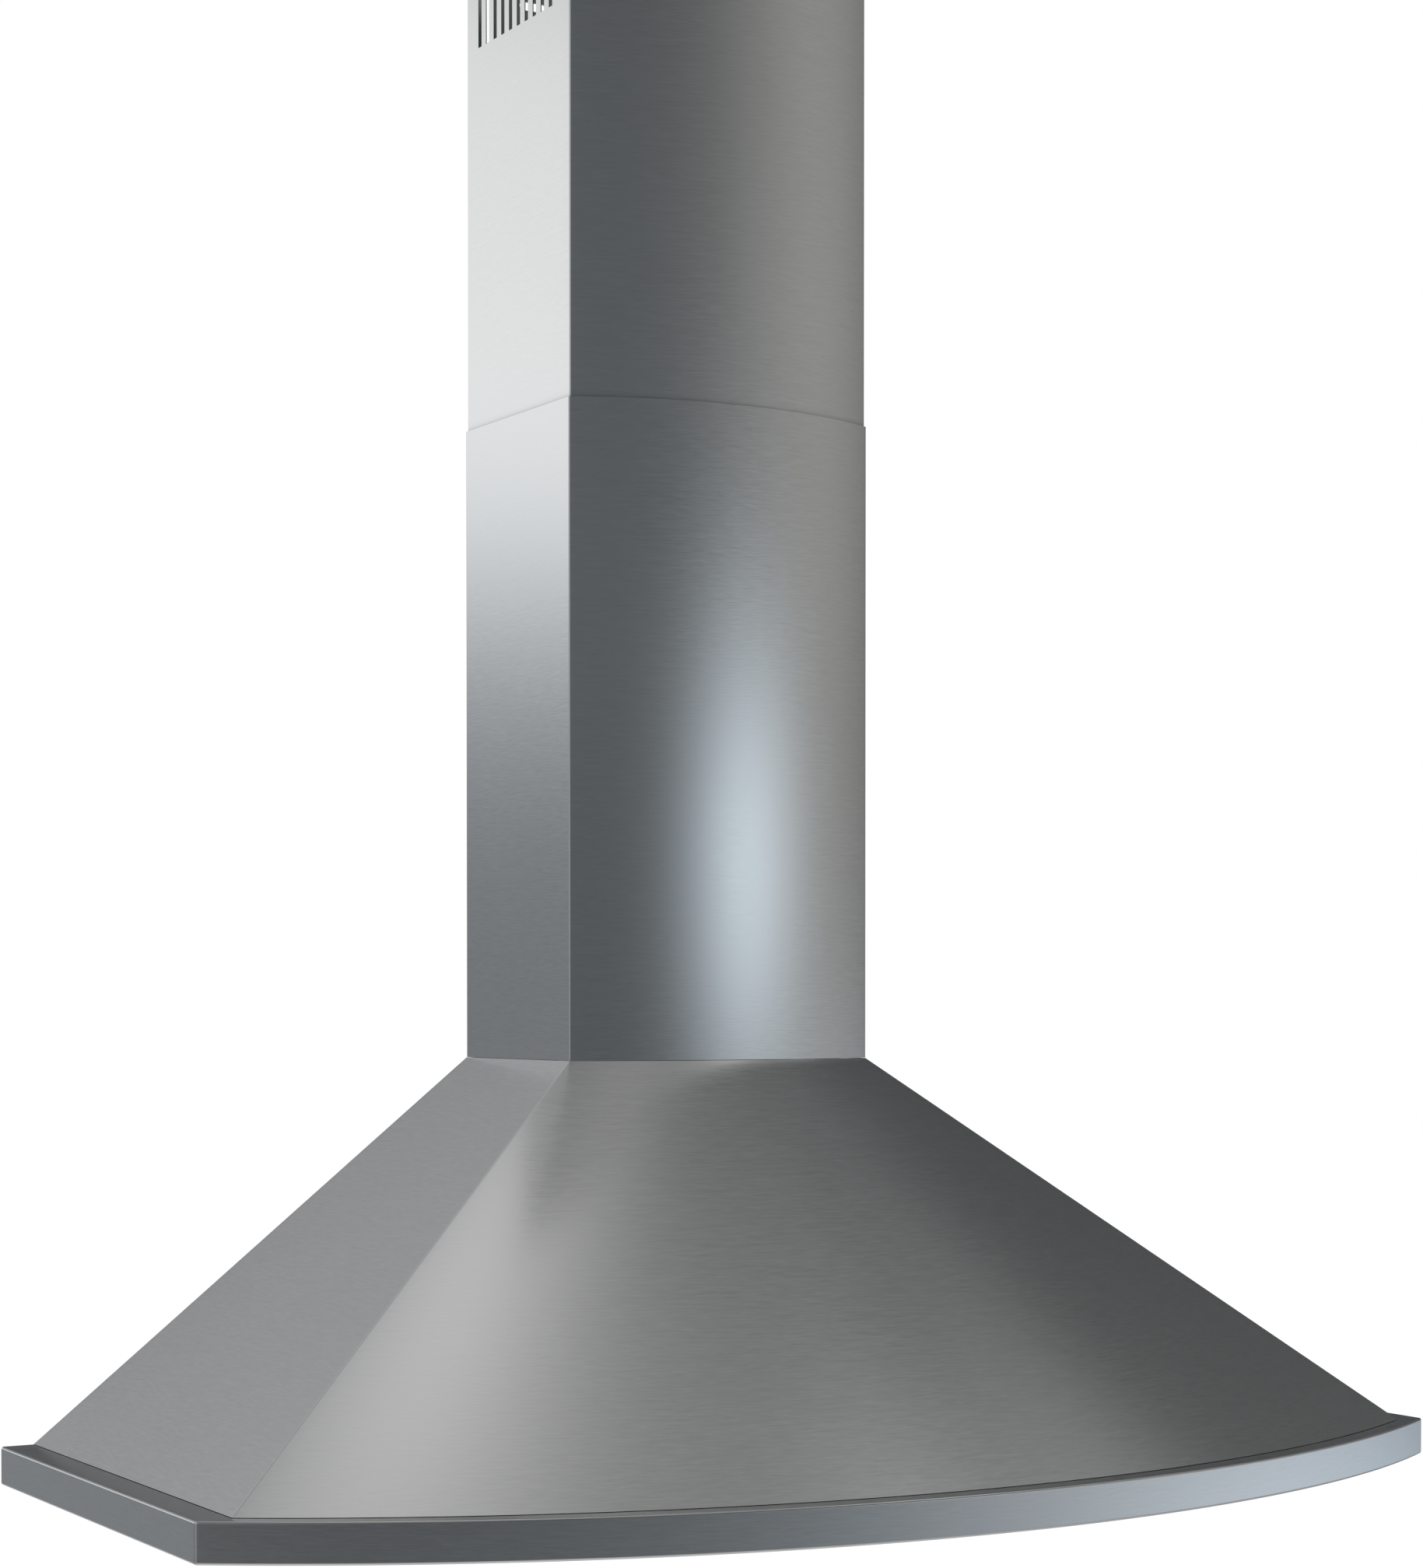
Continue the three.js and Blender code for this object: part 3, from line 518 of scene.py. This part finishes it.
def makeRim():
    piece = startPiece("rimBand")
    top = height(rim["height"])
    steps = rim["steps"]
    lip = bowLine(insetPlan(rimPlan, rim["lip"]), height(0), sheetEnd, steps)
    low = bowLine(rimPlan, height(0), sheetEnd, steps)
    high = bowLine(rimPlan, top, sheetEnd, steps)
    ledge = bowLine(insetPlan(footPlan, canopy["tuck"]), top, sheetEnd, steps)
    joinLines(lip, low)
    joinLines(low, high)
    joinLines(high, ledge)
    bandFront = -(rim["sideDepth"] + rim["bow"])
    faceOut(lambda co: near(co.z, height(rim["height"] / 2), mm) and co.y < bandFront + 5 * mm, (0, -1, 0))
    endEdit()
    softEdges(piece, rim["bend"], segments=4, angle=25)
    thicken(piece, rim["sheet"])
    finishPiece(piece, skinSteel, "brushed_steel", "casing", "rim_band")


makeRim()
print("rim made")


# canopy

chimney = {"halfWidth": 135.9 * mm, "sideDepth": 183.4 * mm, "bow": 33.2 * mm, "flange": 15 * mm,
           "sheet": 0.8 * mm, "bend": 1.1 * mm, "steps": 64, "inset": 1.3 * mm}
chimneyPlan = bowPlan(chimney["halfWidth"], chimney["sideDepth"], chimney["bow"])
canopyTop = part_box("canopy_shell")[1].z


def makeCanopy():
    piece = startPiece("canopyShell")
    steps = canopy["steps"]
    foot = bowLine(footPlan, height(rim["height"] + 0.1 * mm), sheetEnd, steps)
    head = bowLine(chimneyPlan, canopyTop, sheetEnd, steps)
    joinLines(foot, head, cuts=canopy["cuts"])
    faceOut(lambda co: near(co.x, 0, 20 * mm), (0, -1, 1))
    endEdit()
    softEdges(piece, canopy["bend"], segments=3, angle=20)
    thicken(piece, canopy["sheet"])
    startEdit()
    bpy.ops.mesh.select_all(action="SELECT")
    bpy.ops.mesh.bisect(plane_co=(0, 0, height(rim["height"] + canopy["gap"])), plane_no=(0, 0, 1),
                        clear_inner=True, use_fill=True)
    endEdit()
    finishPiece(piece, skinSteel, "brushed_steel", "casing", "canopy_shell")


makeCanopy()
print("canopy made")


# duct covers

slots = {"count": 10, "first": 24.8 * mm, "pitch": 13.95 * mm, "width": 5.7 * mm, "bottom": 1143.7 * mm,
         "top": 1209.7 * mm}


def cutSheet(point, normal):
    bpy.ops.mesh.select_all(action="SELECT")
    bpy.ops.mesh.bisect(plane_co=point, plane_no=normal)


def cutSlots():
    low, high = height(slots["bottom"]), height(slots["top"])
    places = [-(slots["first"] + i * slots["pitch"]) for i in range(slots["count"])]
    cutSheet((0, 0, low), (0, 0, 1))
    cutSheet((0, 0, high), (0, 0, 1))
    for y in places:
        cutSheet((0, y - slots["width"] / 2, 0), (0, 1, 0))
        cutSheet((0, y + slots["width"] / 2, 0), (0, 1, 0))
    selectFaces(lambda co, normal: low < co.z < high and abs(normal.x) > 0.9
                and any(abs(co.y - y) < slots["width"] / 2 - 0.1 * mm for y in places))
    bpy.ops.mesh.delete(type="FACE")


def darkenInside(piece, plan):
    # the faces that look inwards get the dark inner sheet, a painted shade
    piece.data.materials.append(innerShade)
    for face in piece.data.polygons:
        spot = face.center
        side = abs(face.normal.x) > 0.9 and face.normal.x * spot.x < 0
        front = face.normal.y > 0.5 and spot.y < -plan["halfWidth"]
        if side or front:
            face.material_index = 1


def makeCover(name, node, plan, backY, body, slotted):
    low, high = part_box(node)
    piece = startPiece(name)
    flange = chimney["flange"]
    bottom = bowLine(plan, low.z, backY, chimney["steps"], flange)
    top = bowLine(plan, high.z, backY, chimney["steps"], flange)
    joinLines(bottom, top, cuts=6)
    faceOut(lambda co: near(co.x, 0, 10 * mm), (0, -1, 0))
    endEdit()
    softEdges(piece, chimney["bend"], angle=20)
    if slotted:
        startEdit()
        cutSlots()
        endEdit()
    thicken(piece, chimney["sheet"])
    softEdges(piece, 0.15 * mm, segments=2, angle=50)
    finishPiece(piece, upperSteelShaded if slotted else skinSteel, "brushed_steel", body, node)
    darkenInside(piece, plan)


makeCover("lowerChimney", "lower_chimney", chimneyPlan, 0, "casing", False)
makeCover("upperChimney", "upper_chimney", insetPlan(chimneyPlan, chimney["inset"]), -chimney["inset"],
          "upper_cover", True)
print("duct covers made")


# liner that closes the hood from below

liner = {"bottom": 14 * mm, "sheet": 1.2 * mm, "openingHalf": 150 * mm, "openingRear": 27.5 * mm,
         "openingFront": 381.5 * mm, "fenceTop": 53.3 * mm, "earHalf": 1 * mm, "earReach": 6 * mm,
         "skirtFoot": 1.5 * mm, "reach": 5 * mm}    # reach is how far a cutting tool goes past the sheet
filters = {"left": -310 * mm, "middle": 0.0, "right": 310 * mm}
lamps = {"left": -310 * mm, "right": 310 * mm}
hinge = {"y": -34 * mm, "z": 20.3 * mm, "bore": 2.3 * mm, "rod": 2 * mm}
panel = {"y": -482 * mm, "halfLength": 95 * mm, "halfWidth": 18 * mm, "pitch": 32 * mm, "bottom": 11.5 * mm,
         "top": 13.7 * mm, "border": 2.5 * mm, "groove": 0.5 * mm, "hole": 6.7 * mm}
lamp = {"y": -447 * mm, "radius": 31 * mm, "flange": 37 * mm, "bottom": 12.5 * mm, "flangeTop": 13.7 * mm,
        "lip": 14.2 * mm, "top": 38 * mm, "wall": 1.2 * mm, "rim": 4 * mm, "glassBottom": 14.5 * mm,
        "glass": 3 * mm, "clear": 1.6 * mm}


def fillOutline(places):
    selectPlaces(places)
    bpy.ops.mesh.edge_face_add()


def linerHoles(low, high):
    holes = [addBox(x - liner["openingHalf"], x + liner["openingHalf"], -liner["openingFront"],
                    -liner["openingRear"], low, high) for x in filters.values()]
    holes += [addRod(lamp["radius"] + 0.6 * mm, (x, lamp["y"], low), (x, lamp["y"], high), 64)
              for x in lamps.values()]
    alongX, alongY = panel["halfLength"] - 5 * mm, panel["halfWidth"] - 4 * mm
    holes.append(addBox(-alongX, alongX, panel["y"] - alongY, panel["y"] + alongY, low, high))
    return holes


def makeLinerPlate(plan, low, high):
    plate = startPiece("linerPlate")
    under = bowLine(plan, low, sheetEnd, rim["steps"])
    over = bowLine(plan, high, sheetEnd, rim["steps"])
    joinLines(under, over)
    fillOutline(under)
    fillOutline(over)
    selectVerts(lambda co: near(co.y, sheetEnd))
    bpy.ops.mesh.edge_face_add()
    bpy.ops.mesh.select_all(action="SELECT")
    bpy.ops.mesh.normals_make_consistent(inside=False)
    endEdit()
    cutAway(plate, *linerHoles(low - liner["reach"], high + liner["reach"]))
    softEdges(plate, 0.4 * mm, segments=2, angle=60)
    return plate


def makeLinerSkirt(plan, low):
    skirt = startPiece("linerSkirt")
    foot = bowLine(plan, height(liner["skirtFoot"]), sheetEnd, rim["steps"])
    head = bowLine(plan, low, sheetEnd, rim["steps"])
    joinLines(foot, head)
    faceOut(lambda co: near(co.x, 0, 20 * mm), (0, -1, 0))
    endEdit()
    thicken(skirt, liner["sheet"])
    return skirt


def makeHingeEar(x, low):
    half, reach, axis = liner["earHalf"], liner["earReach"], height(hinge["z"])
    ear = addBox(x - half, x + half, hinge["y"] - reach, hinge["y"] + reach, low, axis + reach)
    cutAway(ear, addRod(hinge["bore"], (x - liner["reach"], hinge["y"], axis),
                        (x + liner["reach"], hinge["y"], axis), 24))
    softEdges(ear, 0.25 * mm, segments=2, angle=50)
    return ear


def makeLiner():
    plan = insetPlan(rimPlan, rim["sheet"] + 0.4 * mm)
    low, high = height(liner["bottom"]), height(liner["bottom"] + liner["sheet"])
    plate = makeLinerPlate(plan, low, high)
    skirt = makeLinerSkirt(plan, low)
    span = filters["right"] + liner["openingHalf"] + 6 * mm
    front = -liner["openingFront"]
    fence = addBox(-span, span, front - 1.4 * mm, front - 0.2 * mm, high, height(liner["fenceTop"]))
    softEdges(fence, 0.3 * mm, segments=2)
    ears = [makeHingeEar(place * filters["right"], low) for place in (-1.5, -0.5, 0.5, 1.5)]
    piece = joined(plate, skirt, fence, *ears)
    finishPiece(piece, linerSteel, "liner_steel", "casing", "bottom_liner")


makeLiner()
print("liner made")


# baffle filters

filterFrame = {"halfWidth": 148 * mm, "front": -379.5 * mm, "rear": -39.5 * mm, "bottom": 14.3 * mm,
               "top": 44.3 * mm, "flange": 12 * mm, "sheet": 1 * mm, "bend": 0.9 * mm}
lugs = {"places": (-120 * mm, 120 * mm), "half": 4 * mm, "reach": 5 * mm}
baffles = {"lower": 8, "upper": 7, "pitch": 36 * mm, "width": 22 * mm, "height": 11 * mm, "sheet": 0.8 * mm,
           "clear": 1.6 * mm, "end": 0.5 * mm}
handle = {"y": -370.5 * mm, "half": 42 * mm, "top": 14 * mm, "bottom": 3 * mm, "radius": 2 * mm,
          "turn": 5 * mm}


def makeLug(x, front):
    half, reach, axis = lugs["half"], lugs["reach"], height(hinge["z"])
    lug = addBox(x - half, x + half, front, hinge["y"] + reach, axis - reach, axis + reach)
    cutAway(lug, addRod(hinge["bore"], (x - half - 2 * mm, hinge["y"], axis),
                        (x + half + 2 * mm, hinge["y"], axis), 24))
    softEdges(lug, 0.6 * mm, segments=2, angle=50)
    return lug


def makeFilterFrame(side, x):
    half, flange = filterFrame["halfWidth"], filterFrame["flange"]
    front, rear = filterFrame["front"], filterFrame["rear"]
    bottom, top = height(filterFrame["bottom"]), height(filterFrame["top"])
    piece = startPiece("filterFrame")
    inner = (x - half + flange, x + half - flange, front + flange, rear - flange)
    outer = (x - half, x + half, front, rear)
    lines = [rectangleLine(*inner, bottom), rectangleLine(*outer, bottom), rectangleLine(*outer, top),
             rectangleLine(*inner, top)]
    for first, second in zip(lines, lines[1:]):
        joinLines(first, second)
    faceOut(lambda co: near(co.y, front), (0, -1, 0))
    endEdit()
    softEdges(piece, filterFrame["bend"], segments=3)
    thicken(piece, filterFrame["sheet"])
    joined(piece, *[makeLug(x + place, rear - filterFrame["sheet"]) for place in lugs["places"]])
    finishPiece(piece, filterSteel, "filter_steel", "filter_" + side, "filter_frame_" + side)


def makeBaffles(side, x, row):
    # a row of channels with a strip across each end; the lower row opens upwards, the upper row downwards
    count, upward = baffles[row], row == "lower"
    width, tall, gauge = baffles["width"], baffles["height"], baffles["sheet"]
    front = filterFrame["front"] + filterFrame["sheet"] + baffles["end"]
    rear = filterFrame["rear"] - filterFrame["sheet"] - baffles["end"]
    if upward:
        low = height(filterFrame["bottom"] + baffles["clear"])
        high = low + tall
    else:
        high = height(filterFrame["top"] - baffles["clear"])
        low = high - tall
    first = x - (count - 1) / 2 * baffles["pitch"]
    piece = addBox(first - width / 2, first + width / 2, front, rear, low, high)
    startEdit()
    selectFaces(lambda co, normal: normal.z > 0.5 if upward else normal.z < -0.5)
    bpy.ops.mesh.delete(type="FACE")
    endEdit()
    softEdges(piece, 0.7 * mm, segments=3)
    thicken(piece, gauge)
    useModifier(piece, "ARRAY", count=count, use_relative_offset=False, use_constant_offset=True,
                constant_offset_displace=(baffles["pitch"], 0, 0))
    span = (count - 1) / 2 * baffles["pitch"] + width / 2 + 0.5 * mm
    ends = [addBox(x - span, x + span, y, y + 1 * mm, low, high) for y in (front - 0.2 * mm, rear - 0.8 * mm)]
    for end in ends:
        softEdges(end, 0.2 * mm, segments=2)
    joined(piece, *ends)
    finishPiece(piece, filterSteel, "filter_steel", "filter_" + side, "filter_" + row + "_baffles_" + side)


def makeHandle(side, x):
    y, half, turn = handle["y"], handle["half"], handle["turn"]
    top, bottom = height(handle["top"]), height(handle["bottom"])
    piece = startPiece("filterHandle")
    circleLine(handle["radius"], x - half, y, top, 20)
    extrudeBy(0, 0, bottom + turn - top)
    bpy.ops.mesh.spin(steps=8, angle=math.pi / 2, center=(x - half + turn, y, bottom + turn), axis=(0, 1, 0))
    extrudeBy(2 * (half - turn), 0, 0)
    bpy.ops.mesh.spin(steps=8, angle=math.pi / 2, center=(x + half - turn, y, bottom + turn), axis=(0, 1, 0))
    extrudeBy(0, 0, top - bottom - turn)
    bpy.ops.mesh.edge_face_add()
    selectVerts(lambda co: co.x < x and near(co.z, top))
    bpy.ops.mesh.edge_face_add()
    bpy.ops.mesh.select_all(action="SELECT")
    bpy.ops.mesh.normals_make_consistent(inside=False)
    endEdit()
    finishPiece(piece, bright, "bright_steel", "filter_" + side, "filter_handle_" + side)


for side, x in filters.items():
    makeFilterFrame(side, x)
    makeBaffles(side, x, "lower")
    makeBaffles(side, x, "upper")
    makeHandle(side, x)


def makeHingeRod():
    low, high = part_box("filter_pivot_rod")
    axis = height(hinge["z"])
    piece = addRod(hinge["rod"], (low.x, hinge["y"], axis), (high.x, hinge["y"], axis), 32)
    softEdges(piece, 0.5 * mm, segments=3)
    finishPiece(piece, bright, "bright_steel", "casing", "filter_pivot_rod")


makeHingeRod()
print("filters made")


# lamps

def makeLamp(side, x):
    bottom, flangeTop, lip, top = [height(lamp[key]) for key in ("bottom", "flangeTop", "lip", "top")]
    radius, flange, wall = lamp["radius"], lamp["flange"], lamp["wall"]
    seat = radius - lamp["rim"]
    housing = turned("lampHousing", [
        (0, top - wall), (radius - wall, top - wall), (radius - wall, lip), (seat, lip),
        (seat, bottom + 0.4 * mm), (seat + 0.4 * mm, bottom), (flange - 0.8 * mm, bottom),
        (flange - 0.2 * mm, bottom + 0.3 * mm), (flange, bottom + 0.8 * mm), (flange, flangeTop),
        (radius, flangeTop), (radius, top - 1.5 * mm), (radius - 1.5 * mm, top), (0, top),
    ], x, lamp["y"], 96)
    finishPiece(housing, bright, "bright_steel", "casing", "lamp_housing_" + side)
    low, edge = height(lamp["glassBottom"]), radius - lamp["clear"]
    high = low + lamp["glass"]
    lens = turned("lampLens", [
        (0, low), (edge - 8 * mm, low), (edge - 6.5 * mm, low + 0.5 * mm), (edge - 5 * mm, low),
        (edge - 0.4 * mm, low), (edge, low + 0.4 * mm), (edge, high), (0, high),
    ], x, lamp["y"], 96)
    finishPiece(lens, frosted, "lens", "casing", "lamp_lens_" + side)


for side, x in lamps.items():
    makeLamp(side, x)
print("lamps made")


# controls

buttons = {"power": -2, "low": -1, "medium": 0, "high": 1, "light": 2}
button = {"bottom": 9 * mm, "radius": 6.2 * mm, "collar": 14 * mm, "collarRadius": 8.5 * mm,
          "collarDeep": 2 * mm}


def makeControlPanel():
    bottom, top = height(panel["bottom"]), height(panel["top"])
    y, halfLength, halfWidth = panel["y"], panel["halfLength"], panel["halfWidth"]
    piece = addBox(-halfLength, halfLength, y - halfWidth, y + halfWidth, bottom, top)
    startEdit()
    selectFaces(lambda co, normal: normal.z < -0.5)
    bpy.ops.mesh.inset(thickness=panel["border"])
    bpy.ops.mesh.inset(thickness=panel["groove"], depth=-panel["groove"])
    endEdit()
    softEdges(piece, 0.3 * mm, segments=2, angle=25)
    cutAway(piece, *[addRod(panel["hole"], (place * panel["pitch"], y, bottom - 5 * mm),
                            (place * panel["pitch"], y, top + 5 * mm), 48) for place in buttons.values()])
    finishPiece(piece, blackPlastic, "dark_plastic", "casing", "control_panel")


def makeButton(name, place):
    # the face is slightly dished, and a collar inside keeps the button from falling out
    bottom, collar = height(button["bottom"]), height(button["collar"])
    radius, wide, back = button["radius"], button["collarRadius"], collar + button["collarDeep"]
    piece = turned("button", [
        (0, bottom + 0.5 * mm), (radius * 0.45, bottom + 0.35 * mm), (radius * 0.8, bottom + 0.05 * mm),
        (radius - 0.7 * mm, bottom), (radius - 0.2 * mm, bottom + 0.2 * mm), (radius, bottom + 0.7 * mm),
        (radius, collar), (wide, collar), (wide, back), (0, back),
    ], place * panel["pitch"], panel["y"], 48)
    finishPiece(piece, buttonPlastic, "button_plastic", "press_" + name, "button_" + name)


makeControlPanel()
for name, place in buttons.items():
    makeButton(name, place)
print("controls made")


# duct outlet

outlet = {"y": -104 * mm, "radius": 75 * mm, "neckTop": 382 * mm, "collarTop": 432 * mm, "flap": 400 * mm,
          "bottom": 313.5 * mm, "sheet": 1.2 * mm, "halfX": 78 * mm, "halfY": 51 * mm, "neckDeep": 14 * mm,
          "square": 4 * mm, "flangeX": 92 * mm, "flangeY": 64 * mm}
collar = {"wall": 2 * mm, "tuck": 10 * mm, "bead": 5 * mm, "beadDeep": 2.5 * mm, "stop": 3 * mm,
          "pinHole": 1.8 * mm, "ridge": 18 * mm}


def makeCollar():
    # a bead rests on the neck, a ridge grips the duct, and a stop inside carries the shut flaps
    outer, y, bead = outlet["radius"], outlet["y"], outlet["radius"] + collar["bead"]
    inner, soft = outer - collar["wall"], 0.5 * mm
    foot, top = height(outlet["neckTop"] - collar["tuck"]), height(outlet["collarTop"])
    seat = height(outlet["neckTop"] + 0.3 * mm)
    over, ridge = seat + collar["beadDeep"], top - collar["ridge"]
    stop, stopTip = height(outlet["flap"] - 2.6 * mm), inner - collar["stop"]
    piece = turned("damperCollar", [
        (inner, foot), (outer - soft, foot), (outer, foot + soft), (outer, seat), (bead - soft, seat),
        (bead, seat + soft), (bead, over - soft), (bead - soft, over), (outer, over), (outer, ridge - 2 * mm),
        (outer + 0.8 * mm, ridge), (outer, ridge + 2 * mm), (outer, top - 0.6 * mm), (outer - 0.6 * mm, top),
        (inner + 0.6 * mm, top), (inner, top - 0.6 * mm), (inner, stop + 1.5 * mm),
        (stopTip, stop + 1.5 * mm), (stopTip, stop), (inner, stop - 3 * mm), (inner, foot),
    ], 0, y, 96)
    axle = height(outlet["flap"])
    cutAway(piece, addRod(collar["pinHole"], (-outer - 8 * mm, y, axle), (outer + 8 * mm, y, axle), 24))
    finishPiece(piece, blackPlastic, "dark_plastic", "casing", "damper_collar")


def makeTransition():
    y, x, deep, neck = outlet["y"], outlet["halfX"], outlet["halfY"], outlet["radius"] + 0.6 * mm
    bottom, top = height(outlet["bottom"]), height(outlet["neckTop"])
    piece = startPiece("outletTransition")
    lines = [rectangleLine(-x, x, y - deep, y + deep, bottom, 15),
             rectangleLine(-x, x, y - deep, y + deep, bottom + outlet["square"], 15),
             circleLine(neck, 0, y, top - outlet["neckDeep"], 64), circleLine(neck, 0, y, top, 64)]
    for first, second in zip(lines, lines[1:]):
        joinLines(first, second)
    neckMiddle = top - outlet["neckDeep"] / 2
    faceOut(lambda co: near(co.z, neckMiddle, mm) and co.y < y - neck * 0.9, (0, -1, 0))
    endEdit()
    thicken(piece, outlet["sheet"], offset=1)
    wide, long = outlet["flangeX"], outlet["flangeY"]
    flange = addBox(-wide, wide, y - long, y + long, bottom, bottom + outlet["sheet"])
    holeX, holeY = x + 0.6 * mm, deep + 0.6 * mm
    cutAway(flange, addBox(-holeX, holeX, y - holeY, y + holeY, bottom - 5 * mm, bottom + 5 * mm))
    softEdges(flange, 0.3 * mm, segments=2, angle=50)
    joined(piece, flange)
    finishPiece(piece, shadedZinc, "galvanised", "casing", "outlet_transition")


makeCollar()
makeTransition()
print("duct outlet made")


# finishes of the frame's own nodes; those that a piece above stands for stay hidden

looks = {
    "galvanised": shadedZinc, "bright_steel": bright, "motor_paint": enamel, "dark_plastic": blackPlastic,
    "grey_plastic": greyPlastic, "button_plastic": buttonPlastic, "lead_rubber": leadRubber, "lens": frosted,
    "board": board, "brushed_steel": skinSteel, "liner_steel": linerSteel, "filter_steel": filterSteel,
}


def finishFrameNodes():
    for entry in frame["record"]["subparts"]:
        node = frame["nodes"][entry["node"]]
        node.data.materials.clear()
        node.data.materials.append(looks[entry["material_slot"]])


finishFrameNodes()
print("frame nodes finished")


# floor, light and camera

floor = {"drop": 1.75, "size": 60.0}


def makeFloor():
    bpy.ops.object.select_all(action="DESELECT")
    bpy.ops.mesh.primitive_plane_add(size=floor["size"], location=(0, 0, -floor["drop"]))
    ground = bpy.context.object
    ground.name = "floor"
    finish = Finish("paleFloor", Metallic=0.0)
    mottle = finish.noise((1.5, 1.5, 1.5), detail=3.0)
    finish.give(Base_Color=finish.blend(mottle, colour(0.93, 0.93, 0.93), colour(0.96, 0.96, 0.96)),
                Roughness=0.8 + mottle * 0.1)
    ground.data.materials.append(finish.material)
    ground.visible_glossy = False


# each light panel: bearing, width, height over the horizon and tallness in degrees, edge, and colour
# bearing 0 is straight out from the wall, and grows towards +X; a higher edge number is a crisper edge
panels = {
    "sideWindow": (-154, 14, 13.1, 5.0, 4, (0.855, 0.855, 0.85)),
    "sideWindowFoot": (-154, 14, 7.2, 2.5, 2, (0.23, 0.25, 0.27)),
    "sideGlow": (-158, 20, -5, 12, 2, (0.155, 0.163, 0.175)),
    "wallWash": (-170, 16, 32, 11, 4, (0.38, 0.383, 0.388)),
    "frontStrip": (31, 14, 2.4, 2.1, 2, (0.80, 0.93, 1.05)),
    "warmWall": (62, 27, 11, 18, 2, (0.280, 0.275, 0.260)),
    "frontGlow": (-20, 30, 7, 9.5, 2, (0.045, 0.053, 0.060)),
    "lowStrip": (82, 36, -10, 4.5, 2, (0.47, 0.55, 0.64)),
    "floorSheet": (0, 400, -38, 15, 4, (0.30, 0.30, 0.295)),
}
# each round patch of light: bearing, height over the horizon, spread and colour
patches = {
    "ceilingLamp": (165, 81.5, 6.6, (0.53, 0.53, 0.525)),
    "ceiling": (20, 70, 17, (0.29, 0.29, 0.286)),
    "cornice": (178, 54, 12, (0.34, 0.34, 0.34)),
    "streak": (64, 57, 5.5, (0.70, 0.70, 0.70)),
    "stepGlow": (84, 45, 6, (0.25, 0.25, 0.25)),
    "farGlow": (131, 56, 9, (0.12, 0.12, 0.12)),
    "floorGlow": (0, -88, 25, (0.66, 0.66, 0.65)),
    "leftWindow": (-92, 22, 22, (0.55, 0.56, 0.58)),
    "backGlow": (172, -18, 11, (0.40, 0.40, 0.40)),
}
ambient = (0.054, 0.0575, 0.061)


def makeSky():
    world = bpy.data.worlds.new("studio")
    bpy.context.scene.world = world
    world.use_nodes = True
    sky = Recipe(world.node_tree)
    sky.tree.nodes.clear()
    direction = sky.add("ShaderNodeTexCoord", output="Generated")
    parts = sky.tree.nodes.new("ShaderNodeSeparateXYZ")
    sky.tree.links.new(direction.socket, parts.inputs[0])
    x, y, z = [Number(sky, socket) for socket in parts.outputs]
    flat = (1.0001 - z * z) ** 0.5
    total = sky.add("ShaderNodeCombineColor", None, list(ambient))

    def mixIn(total, strength, tone):
        lit = sky.add("ShaderNodeVectorMath", {"operation": "SCALE"}, {0: tone, "Scale": strength})
        return sky.add("ShaderNodeVectorMath", {"operation": "ADD"}, [total, lit])

    for bearing, wide, rise, tall, edge, tone in panels.values():
        angle = math.radians(bearing)
        across = (x * math.sin(angle) - y * math.cos(angle)) / flat
        away = z - math.sin(math.radians(rise))
        upright = (away * away * (1 / math.radians(tall) ** 2)) ** (edge / 2)
        power = (across - 1) * (1 / math.radians(wide) ** 2) - upright * 0.5
        total = mixIn(total, power.maths("EXPONENT"), tone)
    for bearing, rise, spread, tone in patches.values():
        angle, up = math.radians(bearing), math.radians(rise)
        level = x * math.sin(angle) - y * math.cos(angle)
        facing = level * math.cos(up) + z * math.sin(up)
        glow = ((facing - 1) * (1 / math.radians(spread) ** 2)).maths("EXPONENT")
        total = mixIn(total, glow, tone)

    rays = sky.tree.nodes.new("ShaderNodeLightPath")
    glossy = Number(sky, rays.outputs["Is Glossy Ray"])
    seen = Number(sky, rays.outputs["Is Camera Ray"])
    wash = sky.blend(seen, (1.15, 1.15, 1.15, 1), (1, 1, 1, 1))
    shown = sky.blend(glossy, wash, total)
    back = sky.add("ShaderNodeBackground", None, {"Color": shown, "Strength": 1.0})
    out = sky.tree.nodes.new("ShaderNodeOutputWorld")
    sky.tree.links.new(back.socket, out.inputs["Surface"])


view = {"place": (-1296.9 * mm, -2422.0 * mm, height(371.6 * mm)), "pitch": -1.051, "turn": 29.911,
        "lens": 74.75, "shift": 0.1749}


def makeCamera():
    bpy.ops.object.camera_add(location=view["place"],
                              rotation=(math.radians(90 + view["pitch"]), 0, -math.radians(view["turn"])))
    camera = bpy.context.object
    camera.name = "camera"
    camera.data.sensor_width = 36
    camera.data.lens = view["lens"]
    camera.data.shift_y = view["shift"]
    camera.data.clip_end = 200
    bpy.context.scene.camera = camera


makeFloor()
makeSky()
makeCamera()
bpy.context.scene.view_settings.view_transform = "Standard"
print("studio made")
